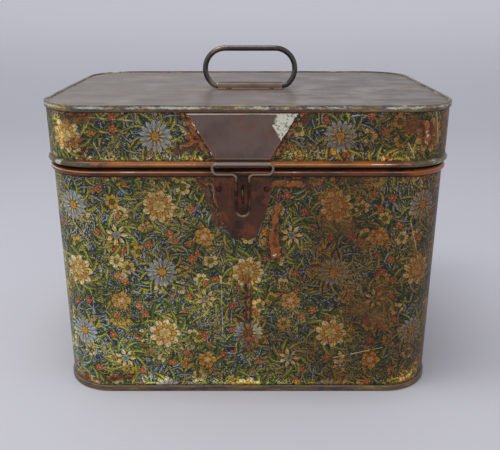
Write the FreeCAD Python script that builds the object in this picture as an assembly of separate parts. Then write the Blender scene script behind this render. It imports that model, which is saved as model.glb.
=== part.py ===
import FreeCAD, Part
import math
import os
from collections import namedtuple

# Tin trunk: a folded tinplate box with a hinged lid, covered in pasted paper.
# Millimetres. The origin is on the floor under the middle, +Z is up and the front faces -Y.
# Pieces on a wall are drawn in wall coordinates: outward from its outer face, along it, and up.

Vector = FreeCAD.Vector
Outline = namedtuple("Outline", "length depth corner")

# Sheet metal and folded seams
SHEET = 0.6            # tinplate of the walls, bottom and lid top
PLATE = 0.8            # heavier sheet of the hinges, hasp plate, staple plate and saddle
SEAM_GAP = 0.05        # play between the folded layers of a seam
SEAM_HEIGHT = 6.0
SEAM_ROUND = 1.0       # rounding of a seam's outer edges
SEAM_RIM = 10.0        # strip of a cover that is folded with its seam
SIDE_LAP = 10.0        # a side joint's tongue reaches this far on both sides of the joint

# Body, measured on the outside of its wall
BODY_LENGTH = 392.0
BODY_DEPTH = 282.0
BODY_CORNER = 49.0
BODY_HEIGHT = 243.5    # floor to the top of the bead under the lid
BODY_BEAD_HEIGHT = 6.4
BODY_BEAD_PROUD = 3.0
COLLAR_HEIGHT = 18.0   # wall inside the lid, above the bead
COLLAR_HEM = 5.0

# Lid
LID_CLEARANCE = 1.45   # lid wall to collar
LID_GAP = 0.7          # lid edge to body bead
LID_HEIGHT = 60.8
LID_HEM = 1.6
LID_BEAD_RISE = 4.8    # lid edge to the middle of its bead
LID_BEAD_HEIGHT = 5.8
LID_BEAD_PROUD = 2.6
PANEL_RECESS = 1.5     # lid panel below the rim of its seam

# Pasted paper
PAPER = 0.2
PAPER_EDGE = 0.8       # bare strip beside beads and seams
PAPER_MARGIN = 0.4     # bare strip round plates

# Rivets
RIVET_SHANK = 3.0
RIVET_HEAD = 6.0
RIVET_HEAD_HEIGHT = 1.4
RIVET_TAIL = 5.0
RIVET_TAIL_HEIGHT = 0.8
RIVET_PLAY = 0.1       # hole round the shank, on the radius

# Back hinges
HINGE_INSET = 37.0     # hinge middle to the start of the rounded corner
HINGE_WIDTH = 30.0
HINGE_LEAF = 34.0      # height of a leaf's flat part
HINGE_PIN = 3.0
HINGE_PIN_PLAY = 0.05  # on the radius
HINGE_PIN_HEAD = 4.2
HINGE_PIN_HEAD_HEIGHT = 0.8
HINGE_KNUCKLE = 10.0   # length of the lid's middle knuckle, with its side play
HINGE_KNUCKLE_GAP = 0.3
HINGE_BEAD_ROOM = 0.3  # knuckle to the more proud bead
HINGE_BEND_ROOM = 9.5  # bead to where a leaf leaves its wall
HINGE_RIVET_SPACING = 18.0

# Hasp plate on the lid front, and the wire hasp that turns in its rolled edge
HASP_X = -4.8
HASP_PLATE_TOP_WIDTH = 103.0
HASP_PLATE_LOW_WIDTH = 54.0
HASP_PLATE_TOP_GAP = 1.8   # below the lid's top seam
HASP_BEND_ROOM = 3.1       # lid bead to where the plate leaves the wall
HASP_KNUCKLE = 51.0
HASP_TURNS = 2             # layers of sheet in the knuckle's roll
HASP_KNUCKLE_RISE = 6.1    # lid edge to the knuckle's axis
HASP_KNUCKLE_ROOM = 0.3    # knuckle to the lid bead
HASP_WIRE = 2.8
HASP_WIRE_PLAY = 0.08      # on the radius
HASP_WIDTH = 57.0          # over the shoulders, wire middle to wire middle
HASP_SHOULDER_DROP = 9.2
HASP_SHOULDER_BEND = 2.4   # where the wire comes out of the knuckle
HASP_RUNG_BEND = 5.0       # below it, where the wire turns inward
HASP_LOOP_WIDTH = 12.3
HASP_LOOP_REACH = 50.6     # axis to the loop's lower end
HASP_NECK_BEND = 4.0
HASP_BUTT_GAP = 0.8        # between the wire's two ends in the knuckle

# Staple plate and staple on the body front
SHIELD_TOP_GAP = 1.1       # below the body bead
SHIELD_HEIGHT = 62.0
SHIELD_TOP_WIDTH = 56.0
SHIELD_FOOT_WIDTH = 22.0
SHIELD_BULGE = 4.0         # how far the sides swell out from straight
SHIELD_RIVET_SPACING = 46.0
SHIELD_RIVET_DROP = 11.5   # below the shield's top edge
STAPLE_WIRE = 2.5
STAPLE_DROP = 15.0         # shield's top edge to the staple's middle
STAPLE_WIDTH = 13.0        # leg to leg, wire middle to wire middle
STAPLE_REACH = 16.8        # outside of the eye, from the wall
STAPLE_BEND = 4.5
STAPLE_PLAY = 0.1          # hole round each leg, on the radius
STAPLE_CLENCH = 7.0        # length turned over inside the wall
STAPLE_CLENCH_BEND = 1.6
STAPLE_CLENCH_GAP = 0.25   # turned-over leg to the wall

# Carry handle and its saddle on the lid panel
HANDLE_X = 2.2
HANDLE_Y = -18.0
HANDLE_WIRE = 5.7
HANDLE_LIFT = 0.5          # wire to lid panel
HANDLE_PLAY = 0.1          # wire to saddle, on the radius
HANDLE_FOOT_BEND = 9.0
HANDLE_RISE = 39.4         # foot run to top run, wire middle to wire middle
HANDLE_LEAN = 45.0         # degrees that each side leans outward
HANDLE_END_PLAY = 0.8      # saddle end to foot bend
HANDLE_BUTT_GAP = 1.0      # between the wire's two ends in the saddle
SADDLE_LENGTH = 70.0
SADDLE_FLANGE = 10.0
SADDLE_RIVET_SPACING = 46.0

# Worked out from the sizes above
BODY = Outline(BODY_LENGTH, BODY_DEPTH, BODY_CORNER)
LID_STEP = LID_CLEARANCE + SHEET
LID = Outline(BODY_LENGTH + 2 * LID_STEP, BODY_DEPTH + 2 * LID_STEP, BODY_CORNER + LID_STEP)
BODY_BEAD_UP = BODY_HEIGHT - BODY_BEAD_HEIGHT / 2
BODY_BEAD_FOOT = BODY_HEIGHT - BODY_BEAD_HEIGHT
LID_EDGE = BODY_HEIGHT + LID_GAP
LID_TOP = LID_EDGE + LID_HEIGHT
LID_BEAD_UP = LID_EDGE + LID_BEAD_RISE
LID_BEAD_HEAD = LID_BEAD_UP + LID_BEAD_HEIGHT / 2
LID_SEAM_FOOT = LID_TOP - SEAM_HEIGHT
PANEL_UP = LID_TOP - PANEL_RECESS
SEAM_OUT = 3 * SEAM_GAP + 3 * SHEET

HINGE_X = BODY_LENGTH / 2 - BODY_CORNER - HINGE_INSET
HINGE_BORE = HINGE_PIN / 2 + HINGE_PIN_PLAY
HINGE_OUT = max(BODY_BEAD_PROUD, LID_STEP + LID_BEAD_PROUD) + HINGE_BEAD_ROOM + HINGE_BORE + PLATE
HINGE_UP = BODY_HEIGHT + LID_GAP / 2
HINGE_BODY_BEND = BODY_BEAD_FOOT - HINGE_BEND_ROOM
HINGE_LID_BEND = LID_BEAD_HEAD + HINGE_BEND_ROOM
HINGE_BODY_SPOTS = [(side * HINGE_RIVET_SPACING / 2, HINGE_BODY_BEND - HINGE_LEAF / 2) for side in (-1, 1)]
HINGE_LID_SPOTS = [(side * HINGE_RIVET_SPACING / 2, HINGE_LID_BEND + HINGE_LEAF / 2) for side in (-1, 1)]

HASP_BORE = HASP_WIRE / 2 + HASP_WIRE_PLAY
HASP_ROLL = HASP_BORE + (HASP_TURNS - 1) * PLATE     # inside of the roll's outer layer
HASP_OUT = LID_BEAD_PROUD + HASP_KNUCKLE_ROOM + HASP_ROLL + PLATE
HASP_UP = LID_EDGE + HASP_KNUCKLE_RISE
HASP_BEND = LID_BEAD_HEAD + HASP_BEND_ROOM
HASP_TOP = LID_SEAM_FOOT - HASP_PLATE_TOP_GAP

SHIELD_TOP = BODY_BEAD_FOOT - SHIELD_TOP_GAP
SHIELD_SPOTS = [(side * SHIELD_RIVET_SPACING / 2, SHIELD_TOP - SHIELD_RIVET_DROP) for side in (-1, 1)]
STAPLE_UP = SHIELD_TOP - STAPLE_DROP

SADDLE_BORE = HANDLE_WIRE / 2 + HANDLE_PLAY
SADDLE_OUT = SADDLE_BORE + PLATE
SADDLE_SPOTS = [
    (along * SADDLE_RIVET_SPACING / 2, across * (SADDLE_OUT + SADDLE_FLANGE / 2))
    for across in (-1, 1)
    for along in (-1, 1)
]
HANDLE_AXIS = HANDLE_LIFT + HANDLE_WIRE / 2

SHORTEST_RUN = 0.001       # two bends closer than this meet with no straight run between them
FRONT = 270
BACK = 90
ORIGIN = Vector(0, 0, 0)
OUTWARD = Vector(1, 0, 0)
ALONG = Vector(0, 1, 0)
UP = Vector(0, 0, 1)


# Helpers for shapes in wall coordinates

def section(start, *steps):
    """Closed face in the outward-up plane. A step is the next corner, or an arc's middle and end."""
    edges = []
    here = Vector(start[0], 0, start[1])
    for step in steps + (start,):
        corners = step if isinstance(step[0], tuple) else (step,)
        points = [Vector(out, 0, up) for out, up in corners]
        if len(points) == 2:
            edges.append(Part.Arc(here, points[0], points[1]).toShape())
        else:
            edges.append(Part.LineSegment(here, points[0]).toShape())
        here = points[-1]
    return Part.Face(Part.Wire(edges))


def placed(shape, facing, x, y):
    """Turn a shape in wall coordinates to face an angle about Z, and move it to x, y."""
    copy = shape.copy()
    copy.rotate(ORIGIN, UP, facing)
    copy.translate(Vector(x, y, 0))
    return copy


def on_front(shape, outline):
    """Put a piece in wall coordinates on the front of an outline, in line with the hasp."""
    return placed(shape, FRONT, HASP_X, -outline.depth / 2)


def on_back(shape, outline, x):
    """Put a piece in wall coordinates on the back of an outline."""
    return placed(shape, BACK, x, outline.depth / 2)


def strip(face, start, end):
    """Carry a section along its wall from one place to another."""
    solid = face.extrude(ALONG * (end - start))
    solid.translate(ALONG * start)
    return solid


def fused(shapes):
    """Join shapes into one piece with no inner edges."""
    return shapes[0].multiFuse(shapes[1:]).removeSplitter()


def half_ring(face, outline):
    """Carry a section round the front half of an outline, between the middles of its sides."""
    side = outline.depth / 2 - outline.corner
    front = outline.length / 2 - outline.corner
    bend = face.copy()
    bend.translate(OUTWARD * outline.corner)
    bend = bend.revolve(ORIGIN, UP, 90)
    return fused([
        placed(strip(face, 0, side), 180, -outline.length / 2, 0),
        placed(bend, 180, -front, -side),
        placed(strip(face, 0, 2 * front), FRONT, -front, -outline.depth / 2),
        placed(bend, FRONT, front, -side),
        placed(strip(face, 0, side), 0, outline.length / 2, -side),
    ])


def turned_round(shape):
    """The same shape on the opposite half."""
    return placed(shape, 180, 0, 0)


def rounded_slab(outline, step, low, high):
    """Slab that fills an outline grown by a step."""
    length = outline.length + 2 * step
    depth = outline.depth + 2 * step
    slab = Part.makeBox(length, depth, high - low, Vector(-length / 2, -depth / 2, low))
    upright = [edge for edge in slab.Edges if abs(edge.tangentAt(edge.FirstParameter).z) > 0.5]
    return slab.makeFillet(outline.corner + step, upright)


def bent_wire(corners, radii, diameter):
    """Round wire with square ends, bent in one plane round each inner corner."""
    edges = []
    here = corners[0]
    for before, corner, after, radius in zip(corners, corners[1:], corners[2:], radii):
        arriving = (corner - before).normalize()
        leaving = (after - corner).normalize()
        half_turn = arriving.getAngle(leaving) / 2
        trim = radius * math.tan(half_turn)
        inward = (leaving - arriving).normalize()
        centre = corner + inward * (radius / math.cos(half_turn))
        start = corner - arriving * trim
        end = corner + leaving * trim
        if (start - here).Length > SHORTEST_RUN:
            edges.append(Part.LineSegment(here, start).toShape())
        else:
            start = here
        edges.append(Part.Arc(start, centre - inward * radius, end).toShape())
        here = end
    edges.append(Part.LineSegment(here, corners[-1]).toShape())
    circle = Part.Circle(corners[0], corners[1] - corners[0], diameter / 2).toShape()
    return Part.Wire(edges).makePipeShell([Part.Wire(circle)], True, False)


# Rivets and their holes

def rivet(sheet):
    """Rivet through a plate on a sheet, its domed head outside the plate and its tail inside the sheet."""
    head = RIVET_HEAD / 2
    tail = RIVET_TAIL / 2
    shank = RIVET_SHANK / 2
    crown = PLATE + RIVET_HEAD_HEIGHT
    sphere = (head ** 2 + RIVET_HEAD_HEIGHT ** 2) / (2 * RIVET_HEAD_HEIGHT)
    half_angle = math.asin(head / sphere) / 2
    shoulder = (crown - sphere + sphere * math.cos(half_angle), sphere * math.sin(half_angle))
    half = section(
        (-sheet - RIVET_TAIL_HEIGHT, 0),
        (-sheet - RIVET_TAIL_HEIGHT, tail),
        (-sheet, tail),
        (-sheet, shank),
        (PLATE, shank),
        (PLATE, head),
        (shoulder, (crown, 0)),
    )
    return half.revolve(ORIGIN, OUTWARD, 360)


def drill(diameter):
    """Cutter for a hole square through a plate and the wall behind it."""
    length = 2 * (SHEET + PLATE)
    return Part.makeCylinder(diameter / 2, 2 * length, Vector(-length, 0, 0), OUTWARD)


def at_spots(shape, spots):
    """Copies of a shape at places along and up a wall."""
    copies = []
    for along, up in spots:
        copy = shape.copy()
        copy.translate(Vector(0, along, up))
        copies.append(copy)
    return Part.makeCompound(copies)


def rivets(spots):
    return at_spots(rivet(SHEET), spots)


def rivet_drills(spots):
    return at_spots(drill(RIVET_SHANK + 2 * RIVET_PLAY), spots)


# Walls, bottom and lid top

def bead(up, height, proud):
    """Outer and inner arcs of a swaged bead, each as start, middle and end, going up."""
    radius = (height ** 2 / 4 + proud ** 2) / (2 * proud)
    middle = proud - radius
    inner_rise = math.sqrt((radius - SHEET) ** 2 - (middle + SHEET) ** 2)
    outer = ((0, up - height / 2), (proud, up), (0, up + height / 2))
    inner = ((-SHEET, up - inner_rise), (proud - SHEET, up), (-SHEET, up + inner_rise))
    return outer, inner


def wall_hook(level, way):
    """A wall's turned-out edge inside a seam, from its inner corner round to its outer face.

    level is the seam's outer face, and way is 1 where the wall goes up from it and -1 where it goes down.
    """
    near = 2 * SEAM_GAP + SHEET
    far = near + SHEET
    corners = [
        (-SHEET, SHEET + SEAM_GAP),
        (far, SHEET + SEAM_GAP),
        (far, SEAM_HEIGHT - SHEET - SEAM_GAP),
        (near, SEAM_HEIGHT - SHEET - SEAM_GAP),
        (near, 2 * SHEET + SEAM_GAP),
        (0, 2 * SHEET + SEAM_GAP),
    ]
    return [(out, level + way * rise) for out, rise in corners]


def body_wall_section():
    outer, inner = bead(BODY_BEAD_UP, BODY_BEAD_HEIGHT, BODY_BEAD_PROUD)
    rim = BODY_HEIGHT + COLLAR_HEIGHT
    hook = wall_hook(0, 1)
    return section(
        *hook,
        outer[0],
        outer[1:],
        (0, rim),
        (-2 * SHEET, rim),
        (-2 * SHEET, rim - COLLAR_HEM),
        (-SHEET, rim - COLLAR_HEM),
        inner[2],
        (inner[1], inner[0]),
    )


def lid_wall_section():
    outer, inner = bead(LID_BEAD_UP, LID_BEAD_HEIGHT, LID_BEAD_PROUD)
    hook = wall_hook(LID_TOP, -1)
    return section(
        *hook,
        outer[2],
        (outer[1], outer[0]),
        (0, LID_EDGE),
        (-2 * SHEET, LID_EDGE),
        (-2 * SHEET, LID_EDGE + LID_HEM),
        (-SHEET, LID_EDGE + LID_HEM),
        inner[0],
        inner[1:],
    )


def lapped_wall(face, outline, low, high):
    """Half of a wall, with the tongue that laps inside the other half at its right-hand end."""
    tongue = section((-2 * SHEET, low), (-SHEET, low), (-SHEET, high), (-2 * SHEET, high))
    tongue = placed(strip(tongue, -SIDE_LAP, SIDE_LAP), 0, outline.length / 2, 0)
    return fused([half_ring(face, outline), tongue])


def body_walls():
    low = 2 * SHEET + 2 * SEAM_GAP
    half = lapped_wall(body_wall_section(), BODY, low, BODY_BEAD_FOOT)
    front_cuts = [
        on_front(rivet_drills(SHIELD_SPOTS), BODY),
        on_front(staple_drills(), BODY),
    ]
    back_cuts = [on_back(rivet_drills(HINGE_BODY_SPOTS), BODY, side * HINGE_X) for side in (-1, 1)]
    return half.cut(front_cuts), turned_round(half).cut(back_cuts)


def lid_walls():
    high = LID_TOP - PANEL_RECESS - SHEET - SEAM_GAP
    half = lapped_wall(lid_wall_section(), LID, LID_BEAD_HEAD, high)
    back_cuts = [on_back(rivet_drills(HINGE_LID_SPOTS), LID, side * HINGE_X) for side in (-1, 1)]
    return half, turned_round(half).cut(back_cuts)


def cover_hook(level, way):
    """A cover's edge folded round a wall's hook, from its rounded outer rim to its inner face."""
    near = SEAM_GAP
    far = SEAM_OUT - SHEET
    flat = SEAM_OUT - SEAM_ROUND
    bulge = SEAM_ROUND * math.sin(math.pi / 4)
    steps = [
        ((flat, 0),),
        ((flat + bulge, SEAM_ROUND - bulge), (SEAM_OUT, SEAM_ROUND)),
        ((SEAM_OUT, SEAM_HEIGHT - SEAM_ROUND),),
        ((flat + bulge, SEAM_HEIGHT - SEAM_ROUND + bulge), (flat, SEAM_HEIGHT)),
        ((near, SEAM_HEIGHT),),
        ((near, 2 * SHEET + 2 * SEAM_GAP),),
        ((near + SHEET, 2 * SHEET + 2 * SEAM_GAP),),
        ((near + SHEET, SEAM_HEIGHT - SHEET),),
        ((far, SEAM_HEIGHT - SHEET),),
        ((far, SHEET),),
    ]
    return [tuple((out, level + way * rise) for out, rise in step) for step in steps]


def cover(face, outline, low, high):
    """A flat sheet with a folded seam all round it."""
    half = half_ring(face, outline)
    panel = rounded_slab(outline, -SEAM_RIM, low, high)
    return fused([half, turned_round(half), panel])


def body_bottom():
    """Bottom sheet, set down round the body walls' turned-out edge."""
    face = section((-SEAM_RIM, 0), *cover_hook(0, 1), (-SEAM_RIM, SHEET))
    return cover(face, BODY, 0, SHEET)


def lid_top():
    """Lid panel, recessed inside the rim of its double seam."""
    bore = -2 * SHEET - SEAM_GAP
    bulge = SEAM_ROUND * math.sin(math.pi / 4)
    rim = ((bore + SEAM_ROUND - bulge, LID_TOP - SEAM_ROUND + bulge), (bore + SEAM_ROUND, LID_TOP))
    face = section(
        (-SEAM_RIM, PANEL_UP),
        (bore, PANEL_UP),
        (bore, LID_TOP - SEAM_ROUND),
        rim,
        *cover_hook(LID_TOP, -1),
        (bore + SHEET, LID_TOP - SHEET),
        (bore + SHEET, PANEL_UP - SHEET),
        (-SEAM_RIM, PANEL_UP - SHEET),
    )
    return cover(face, LID, PANEL_UP - SHEET, PANEL_UP).cut(on_panel(rivet_drills(SADDLE_SPOTS)))


# Hinges

def rolled_leaf(axis_out, axis_up, roll, bend_up, end_up):
    """Section of a leaf that lies on a wall, bends off it and runs into the outer layer of a roll.

    It starts at end_up and leaves the wall at bend_up. Its straight web meets the layer, whose inside is roll.
    """
    way = 1 if end_up > bend_up else -1
    outside = roll + PLATE
    reach = math.hypot(axis_out - PLATE, axis_up - bend_up)
    slope = math.atan2(axis_up - bend_up, axis_out - PLATE) + way * math.asin(outside / reach)
    side = (-way * math.sin(slope), way * math.cos(slope))
    touch = (axis_out + outside * side[0], axis_up + outside * side[1])
    inside = (axis_out + roll * side[0], axis_up + roll * side[1])
    root = (0, inside[1] - inside[0] * math.tan(slope))
    return section((0, end_up), (PLATE, end_up), (PLATE, bend_up), touch, inside, root)


def hinge_leaf(axis_out, bend_up, end_up, knuckles):
    """Leaf that reaches the pin along the given stretches of the wall."""
    web = rolled_leaf(axis_out, HINGE_UP, HINGE_BORE, bend_up, end_up)
    flat = section((0, end_up), (PLATE, end_up), (PLATE, bend_up), (0, bend_up))
    shapes = [strip(flat, -HINGE_WIDTH / 2, HINGE_WIDTH / 2)]
    for start, end in knuckles:
        shapes.append(strip(web, start, end))
        shapes.append(barrel(axis_out, HINGE_UP, HINGE_BORE, HINGE_BORE + PLATE, start, end))
    return fused(shapes)


def barrel(out, up, bore, outside, start, end):
    """Rolled tube along the wall."""
    place = Vector(out, start, up)
    tube = Part.makeCylinder(outside, end - start, place, ALONG)
    return tube.cut(Part.makeCylinder(bore, end - start, place, ALONG))


def hinge_body_leaf(x):
    inner = HINGE_KNUCKLE / 2 + HINGE_KNUCKLE_GAP / 2
    knuckles = [(-HINGE_WIDTH / 2, -inner), (inner, HINGE_WIDTH / 2)]
    leaf = hinge_leaf(HINGE_OUT, HINGE_BODY_BEND, HINGE_BODY_BEND - HINGE_LEAF, knuckles)
    return on_back(leaf.cut(rivet_drills(HINGE_BODY_SPOTS)), BODY, x)


def hinge_lid_leaf(x):
    inner = HINGE_KNUCKLE / 2 - HINGE_KNUCKLE_GAP / 2
    knuckles = [(-inner, inner)]
    leaf = hinge_leaf(HINGE_OUT - LID_STEP, HINGE_LID_BEND, HINGE_LID_BEND + HINGE_LEAF, knuckles)
    return on_back(leaf.cut(rivet_drills(HINGE_LID_SPOTS)), LID, x)


def hinge_pin(x):
    """Pin with a peened head beyond each end of the barrel."""
    half = HINGE_WIDTH / 2 + HINGE_PIN_PLAY
    end = half + HINGE_PIN_HEAD_HEIGHT
    shapes = [Part.makeCylinder(HINGE_PIN / 2, 2 * end, Vector(HINGE_OUT, -end, HINGE_UP), ALONG)]
    for start in (-end, half):
        place = Vector(HINGE_OUT, start, HINGE_UP)
        shapes.append(Part.makeCylinder(HINGE_PIN_HEAD / 2, HINGE_PIN_HEAD_HEIGHT, place, ALONG))
    return on_back(fused(shapes), BODY, x)


def hinge_rivets(spots, outline):
    return Part.makeCompound([on_back(rivets(spots), outline, side * HINGE_X) for side in (-1, 1)])


# Hasp plate and hasp

def hasp_plate_outline(grow):
    """Trapezoid on the lid front, grown all round, as a prism through the paper and the plate."""
    top = HASP_PLATE_TOP_WIDTH / 2 + grow
    low = HASP_PLATE_LOW_WIDTH / 2 + grow
    corners = [
        Vector(0, -top, HASP_TOP + grow),
        Vector(0, top, HASP_TOP + grow),
        Vector(0, low, HASP_BEND - grow),
        Vector(0, -low, HASP_BEND - grow),
    ]
    return Part.Face(Part.makePolygon(corners + corners[:1])).extrude(OUTWARD * PLATE)


def hasp_plate():
    """Plate soldered on the lid front, bent out over the bead and rolled into the hasp's knuckle."""
    web = rolled_leaf(HASP_OUT, HASP_UP, HASP_ROLL, HASP_BEND, HASP_TOP)
    half = HASP_KNUCKLE / 2
    shapes = [
        hasp_plate_outline(0),
        strip(web, -half, half),
        barrel(HASP_OUT, HASP_UP, HASP_BORE, HASP_ROLL + PLATE, -half, half),
    ]
    return on_front(fused(shapes), LID)


def hasp_loop():
    """Wire hasp: both ends turn in the knuckle, come round the shoulders and close in a long loop."""
    end = HASP_BUTT_GAP / 2
    shoulder = HASP_WIDTH / 2
    neck = HASP_LOOP_WIDTH / 2
    right = [(end, 0), (shoulder, 0), (shoulder, -HASP_SHOULDER_DROP), (neck, -HASP_SHOULDER_DROP)]
    right.append((neck, -HASP_LOOP_REACH))
    left = [(-along, up) for along, up in reversed(right)]
    corners = [Vector(HASP_OUT, along, HASP_UP + up) for along, up in right + left]
    radii = [HASP_SHOULDER_BEND, HASP_RUNG_BEND, HASP_NECK_BEND, neck]
    return on_front(bent_wire(corners, radii + radii[::-1], HASP_WIRE), LID)


# Staple plate and staple

def shield(grow, thick):
    """Shield with gently swelling sides on the body front, grown all round."""
    top = SHIELD_TOP_WIDTH / 2 + grow
    foot = SHIELD_FOOT_WIDTH / 2 + grow
    waist = (top + foot) / 2 + SHIELD_BULGE
    high = SHIELD_TOP + grow
    low = SHIELD_TOP - SHIELD_HEIGHT - grow
    middle = (high + low) / 2
    edges = [
        Part.LineSegment(Vector(0, -top, high), Vector(0, top, high)).toShape(),
        Part.Arc(Vector(0, top, high), Vector(0, waist, middle), Vector(0, foot, low)).toShape(),
        Part.LineSegment(Vector(0, foot, low), Vector(0, -foot, low)).toShape(),
        Part.Arc(Vector(0, -foot, low), Vector(0, -waist, middle), Vector(0, -top, high)).toShape(),
    ]
    return Part.Face(Part.Wire(edges)).extrude(OUTWARD * thick)


def staple_drills():
    spots = [(0, STAPLE_UP + side * STAPLE_WIDTH / 2) for side in (-1, 1)]
    return at_spots(drill(STAPLE_WIRE + 2 * STAPLE_PLAY), spots)


def staple_plate():
    return on_front(shield(0, PLATE).cut([rivet_drills(SHIELD_SPOTS), staple_drills()]), BODY)


def staple():
    """Wire staple with an upright eye, its legs turned over inside the wall."""
    inside = -SHEET - STAPLE_CLENCH_GAP - STAPLE_WIRE / 2
    eye = STAPLE_REACH - STAPLE_WIRE / 2
    leg = STAPLE_WIDTH / 2
    upper = [(inside, leg + STAPLE_CLENCH), (inside, leg), (eye, leg)]
    lower = [(out, -up) for out, up in reversed(upper)]
    corners = [Vector(out, 0, STAPLE_UP + up) for out, up in upper + lower]
    radii = [STAPLE_CLENCH_BEND, STAPLE_BEND, STAPLE_BEND, STAPLE_CLENCH_BEND]
    return on_front(bent_wire(corners, radii, STAPLE_WIRE), BODY)


# Handle and saddle, drawn with the lid panel as the wall

def on_panel(shape):
    """Put a piece drawn in wall coordinates on the lid panel, its outward direction turned up."""
    copy = shape.copy()
    copy.rotate(ORIGIN, ALONG, -90)
    return placed(copy, FRONT, HANDLE_X, HANDLE_Y).translated(UP * PANEL_UP)


def handle_saddle():
    """Saddle pressed from sheet, with an arch over the handle's foot run and a flange on each side."""
    flange = SADDLE_OUT + SADDLE_FLANGE
    arch = HANDLE_AXIS + SADDLE_OUT
    face = section(
        (0, -flange),
        (PLATE, -flange),
        (PLATE, -SADDLE_OUT),
        (HANDLE_AXIS, -SADDLE_OUT),
        ((arch, 0), (HANDLE_AXIS, SADDLE_OUT)),
        (PLATE, SADDLE_OUT),
        (PLATE, flange),
        (0, flange),
        (0, SADDLE_BORE),
        (HANDLE_AXIS, SADDLE_BORE),
        ((HANDLE_AXIS + SADDLE_BORE, 0), (HANDLE_AXIS, -SADDLE_BORE)),
        (0, -SADDLE_BORE),
    )
    return on_panel(strip(face, -SADDLE_LENGTH / 2, SADDLE_LENGTH / 2))


def carry_handle():
    """Wire handle whose ends meet in the saddle; its leaning sides run into the round ends of the grip."""
    lean = math.radians(HANDLE_LEAN)
    foot = SADDLE_LENGTH / 2 + HANDLE_END_PLAY + HANDLE_FOOT_BEND * math.tan(lean / 2)
    top = foot + HANDLE_RISE / math.tan(lean)
    side = HANDLE_RISE / math.sin(lean) - HANDLE_FOOT_BEND * math.tan(lean / 2)
    round_end = side * math.tan(lean / 2)
    right = [(HANDLE_BUTT_GAP / 2, 0), (foot, 0), (top, HANDLE_RISE)]
    left = [(-along, up) for along, up in reversed(right)]
    corners = [Vector(HANDLE_X + along, HANDLE_Y, PANEL_UP + HANDLE_AXIS + up) for along, up in right + left]
    radii = [HANDLE_FOOT_BEND, round_end, round_end, HANDLE_FOOT_BEND]
    return bent_wire(corners, radii, HANDLE_WIRE)


# Pasted paper

def wall_paper(outline, low, high):
    """Paper on the front half of a wall."""
    return half_ring(section((0, low), (PAPER, low), (PAPER, high), (0, high)), outline)


def leaf_window(bend_up, way, outline, x):
    """Bare place round a hinge leaf."""
    half = HINGE_WIDTH / 2 + PAPER_MARGIN
    near = bend_up - way * HINGE_BEND_ROOM
    far = bend_up + way * (HINGE_LEAF + PAPER_MARGIN)
    low = min(near, far)
    high = max(near, far)
    face = section((0, low), (PLATE, low), (PLATE, high), (0, high))
    return on_back(strip(face, -half, half), outline, x)


def body_papers():
    half = wall_paper(BODY, SEAM_HEIGHT + PAPER_EDGE, BODY_BEAD_FOOT - PAPER_EDGE)
    front = half.cut(on_front(shield(PAPER_MARGIN, PLATE), BODY))
    windows = [leaf_window(HINGE_BODY_BEND, -1, BODY, side * HINGE_X) for side in (-1, 1)]
    return front, turned_round(half).cut(windows)


def lid_papers():
    half = wall_paper(LID, LID_BEAD_HEAD + PAPER_EDGE, LID_SEAM_FOOT - PAPER_EDGE)
    under_web = section((0, LID_BEAD_HEAD), (PLATE, LID_BEAD_HEAD), (PLATE, HASP_BEND), (0, HASP_BEND))
    web_half = HASP_KNUCKLE / 2 + PAPER_MARGIN
    front = half.cut([
        on_front(hasp_plate_outline(PAPER_MARGIN), LID),
        on_front(strip(under_web, -web_half, web_half), LID),
    ])
    windows = [leaf_window(HINGE_LID_BEND, 1, LID, side * HINGE_X) for side in (-1, 1)]
    return front, turned_round(half).cut(windows)


def lid_top_paper():
    """Paper on the lid panel, cut away round the saddle."""
    edge = 2 * SHEET + SEAM_GAP + PAPER_EDGE
    sheet = rounded_slab(LID, -edge, PANEL_UP, PANEL_UP + PAPER)
    length = SADDLE_LENGTH + 2 * PAPER_MARGIN
    depth = 2 * (SADDLE_OUT + SADDLE_FLANGE + PAPER_MARGIN)
    window = Part.makeBox(length, depth, PLATE, Vector(HANDLE_X - length / 2, HANDLE_Y - depth / 2, PANEL_UP))
    return sheet.cut(window)


def nodes():
    """Every piece of the trunk by name."""
    pieces = {}
    pieces["body_wall_front"], pieces["body_wall_back"] = body_walls()
    pieces["body_bottom"] = body_bottom()
    pieces["body_paper_front"], pieces["body_paper_back"] = body_papers()
    pieces["staple_plate"] = staple_plate()
    pieces["staple"] = staple()
    pieces["staple_plate_rivets"] = on_front(rivets(SHIELD_SPOTS), BODY)
    pieces["hinge_body_rivets"] = hinge_rivets(HINGE_BODY_SPOTS, BODY)
    pieces["lid_wall_front"], pieces["lid_wall_back"] = lid_walls()
    pieces["lid_top"] = lid_top()
    pieces["lid_paper_front"], pieces["lid_paper_back"] = lid_papers()
    pieces["lid_top_paper"] = lid_top_paper()
    pieces["hasp_plate"] = hasp_plate()
    pieces["hasp_loop"] = hasp_loop()
    pieces["handle_saddle"] = handle_saddle().cut(on_panel(rivet_drills(SADDLE_SPOTS)))
    pieces["saddle_rivets"] = on_panel(rivets(SADDLE_SPOTS))
    pieces["carry_handle"] = carry_handle()
    pieces["hinge_lid_rivets"] = hinge_rivets(HINGE_LID_SPOTS, LID)
    for name, x in (("left", -HINGE_X), ("right", HINGE_X)):
        pieces[f"hinge_{name}_body_leaf"] = hinge_body_leaf(x)
        pieces[f"hinge_{name}_lid_leaf"] = hinge_lid_leaf(x)
        pieces[f"hinge_{name}_pin"] = hinge_pin(x)
    return pieces


def main():
    os.makedirs("parts", exist_ok=True)
    for name, shape in nodes().items():
        shape.exportStep(os.path.join("parts", name + ".step"))
        print(name, "solids", len(shape.Solids), "volume", round(shape.Volume, 1), "valid", shape.isValid())


main()
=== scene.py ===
"""Round-cornered tin trunk in worn printed paper: finishes, paper skins and stage."""

import math

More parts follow.
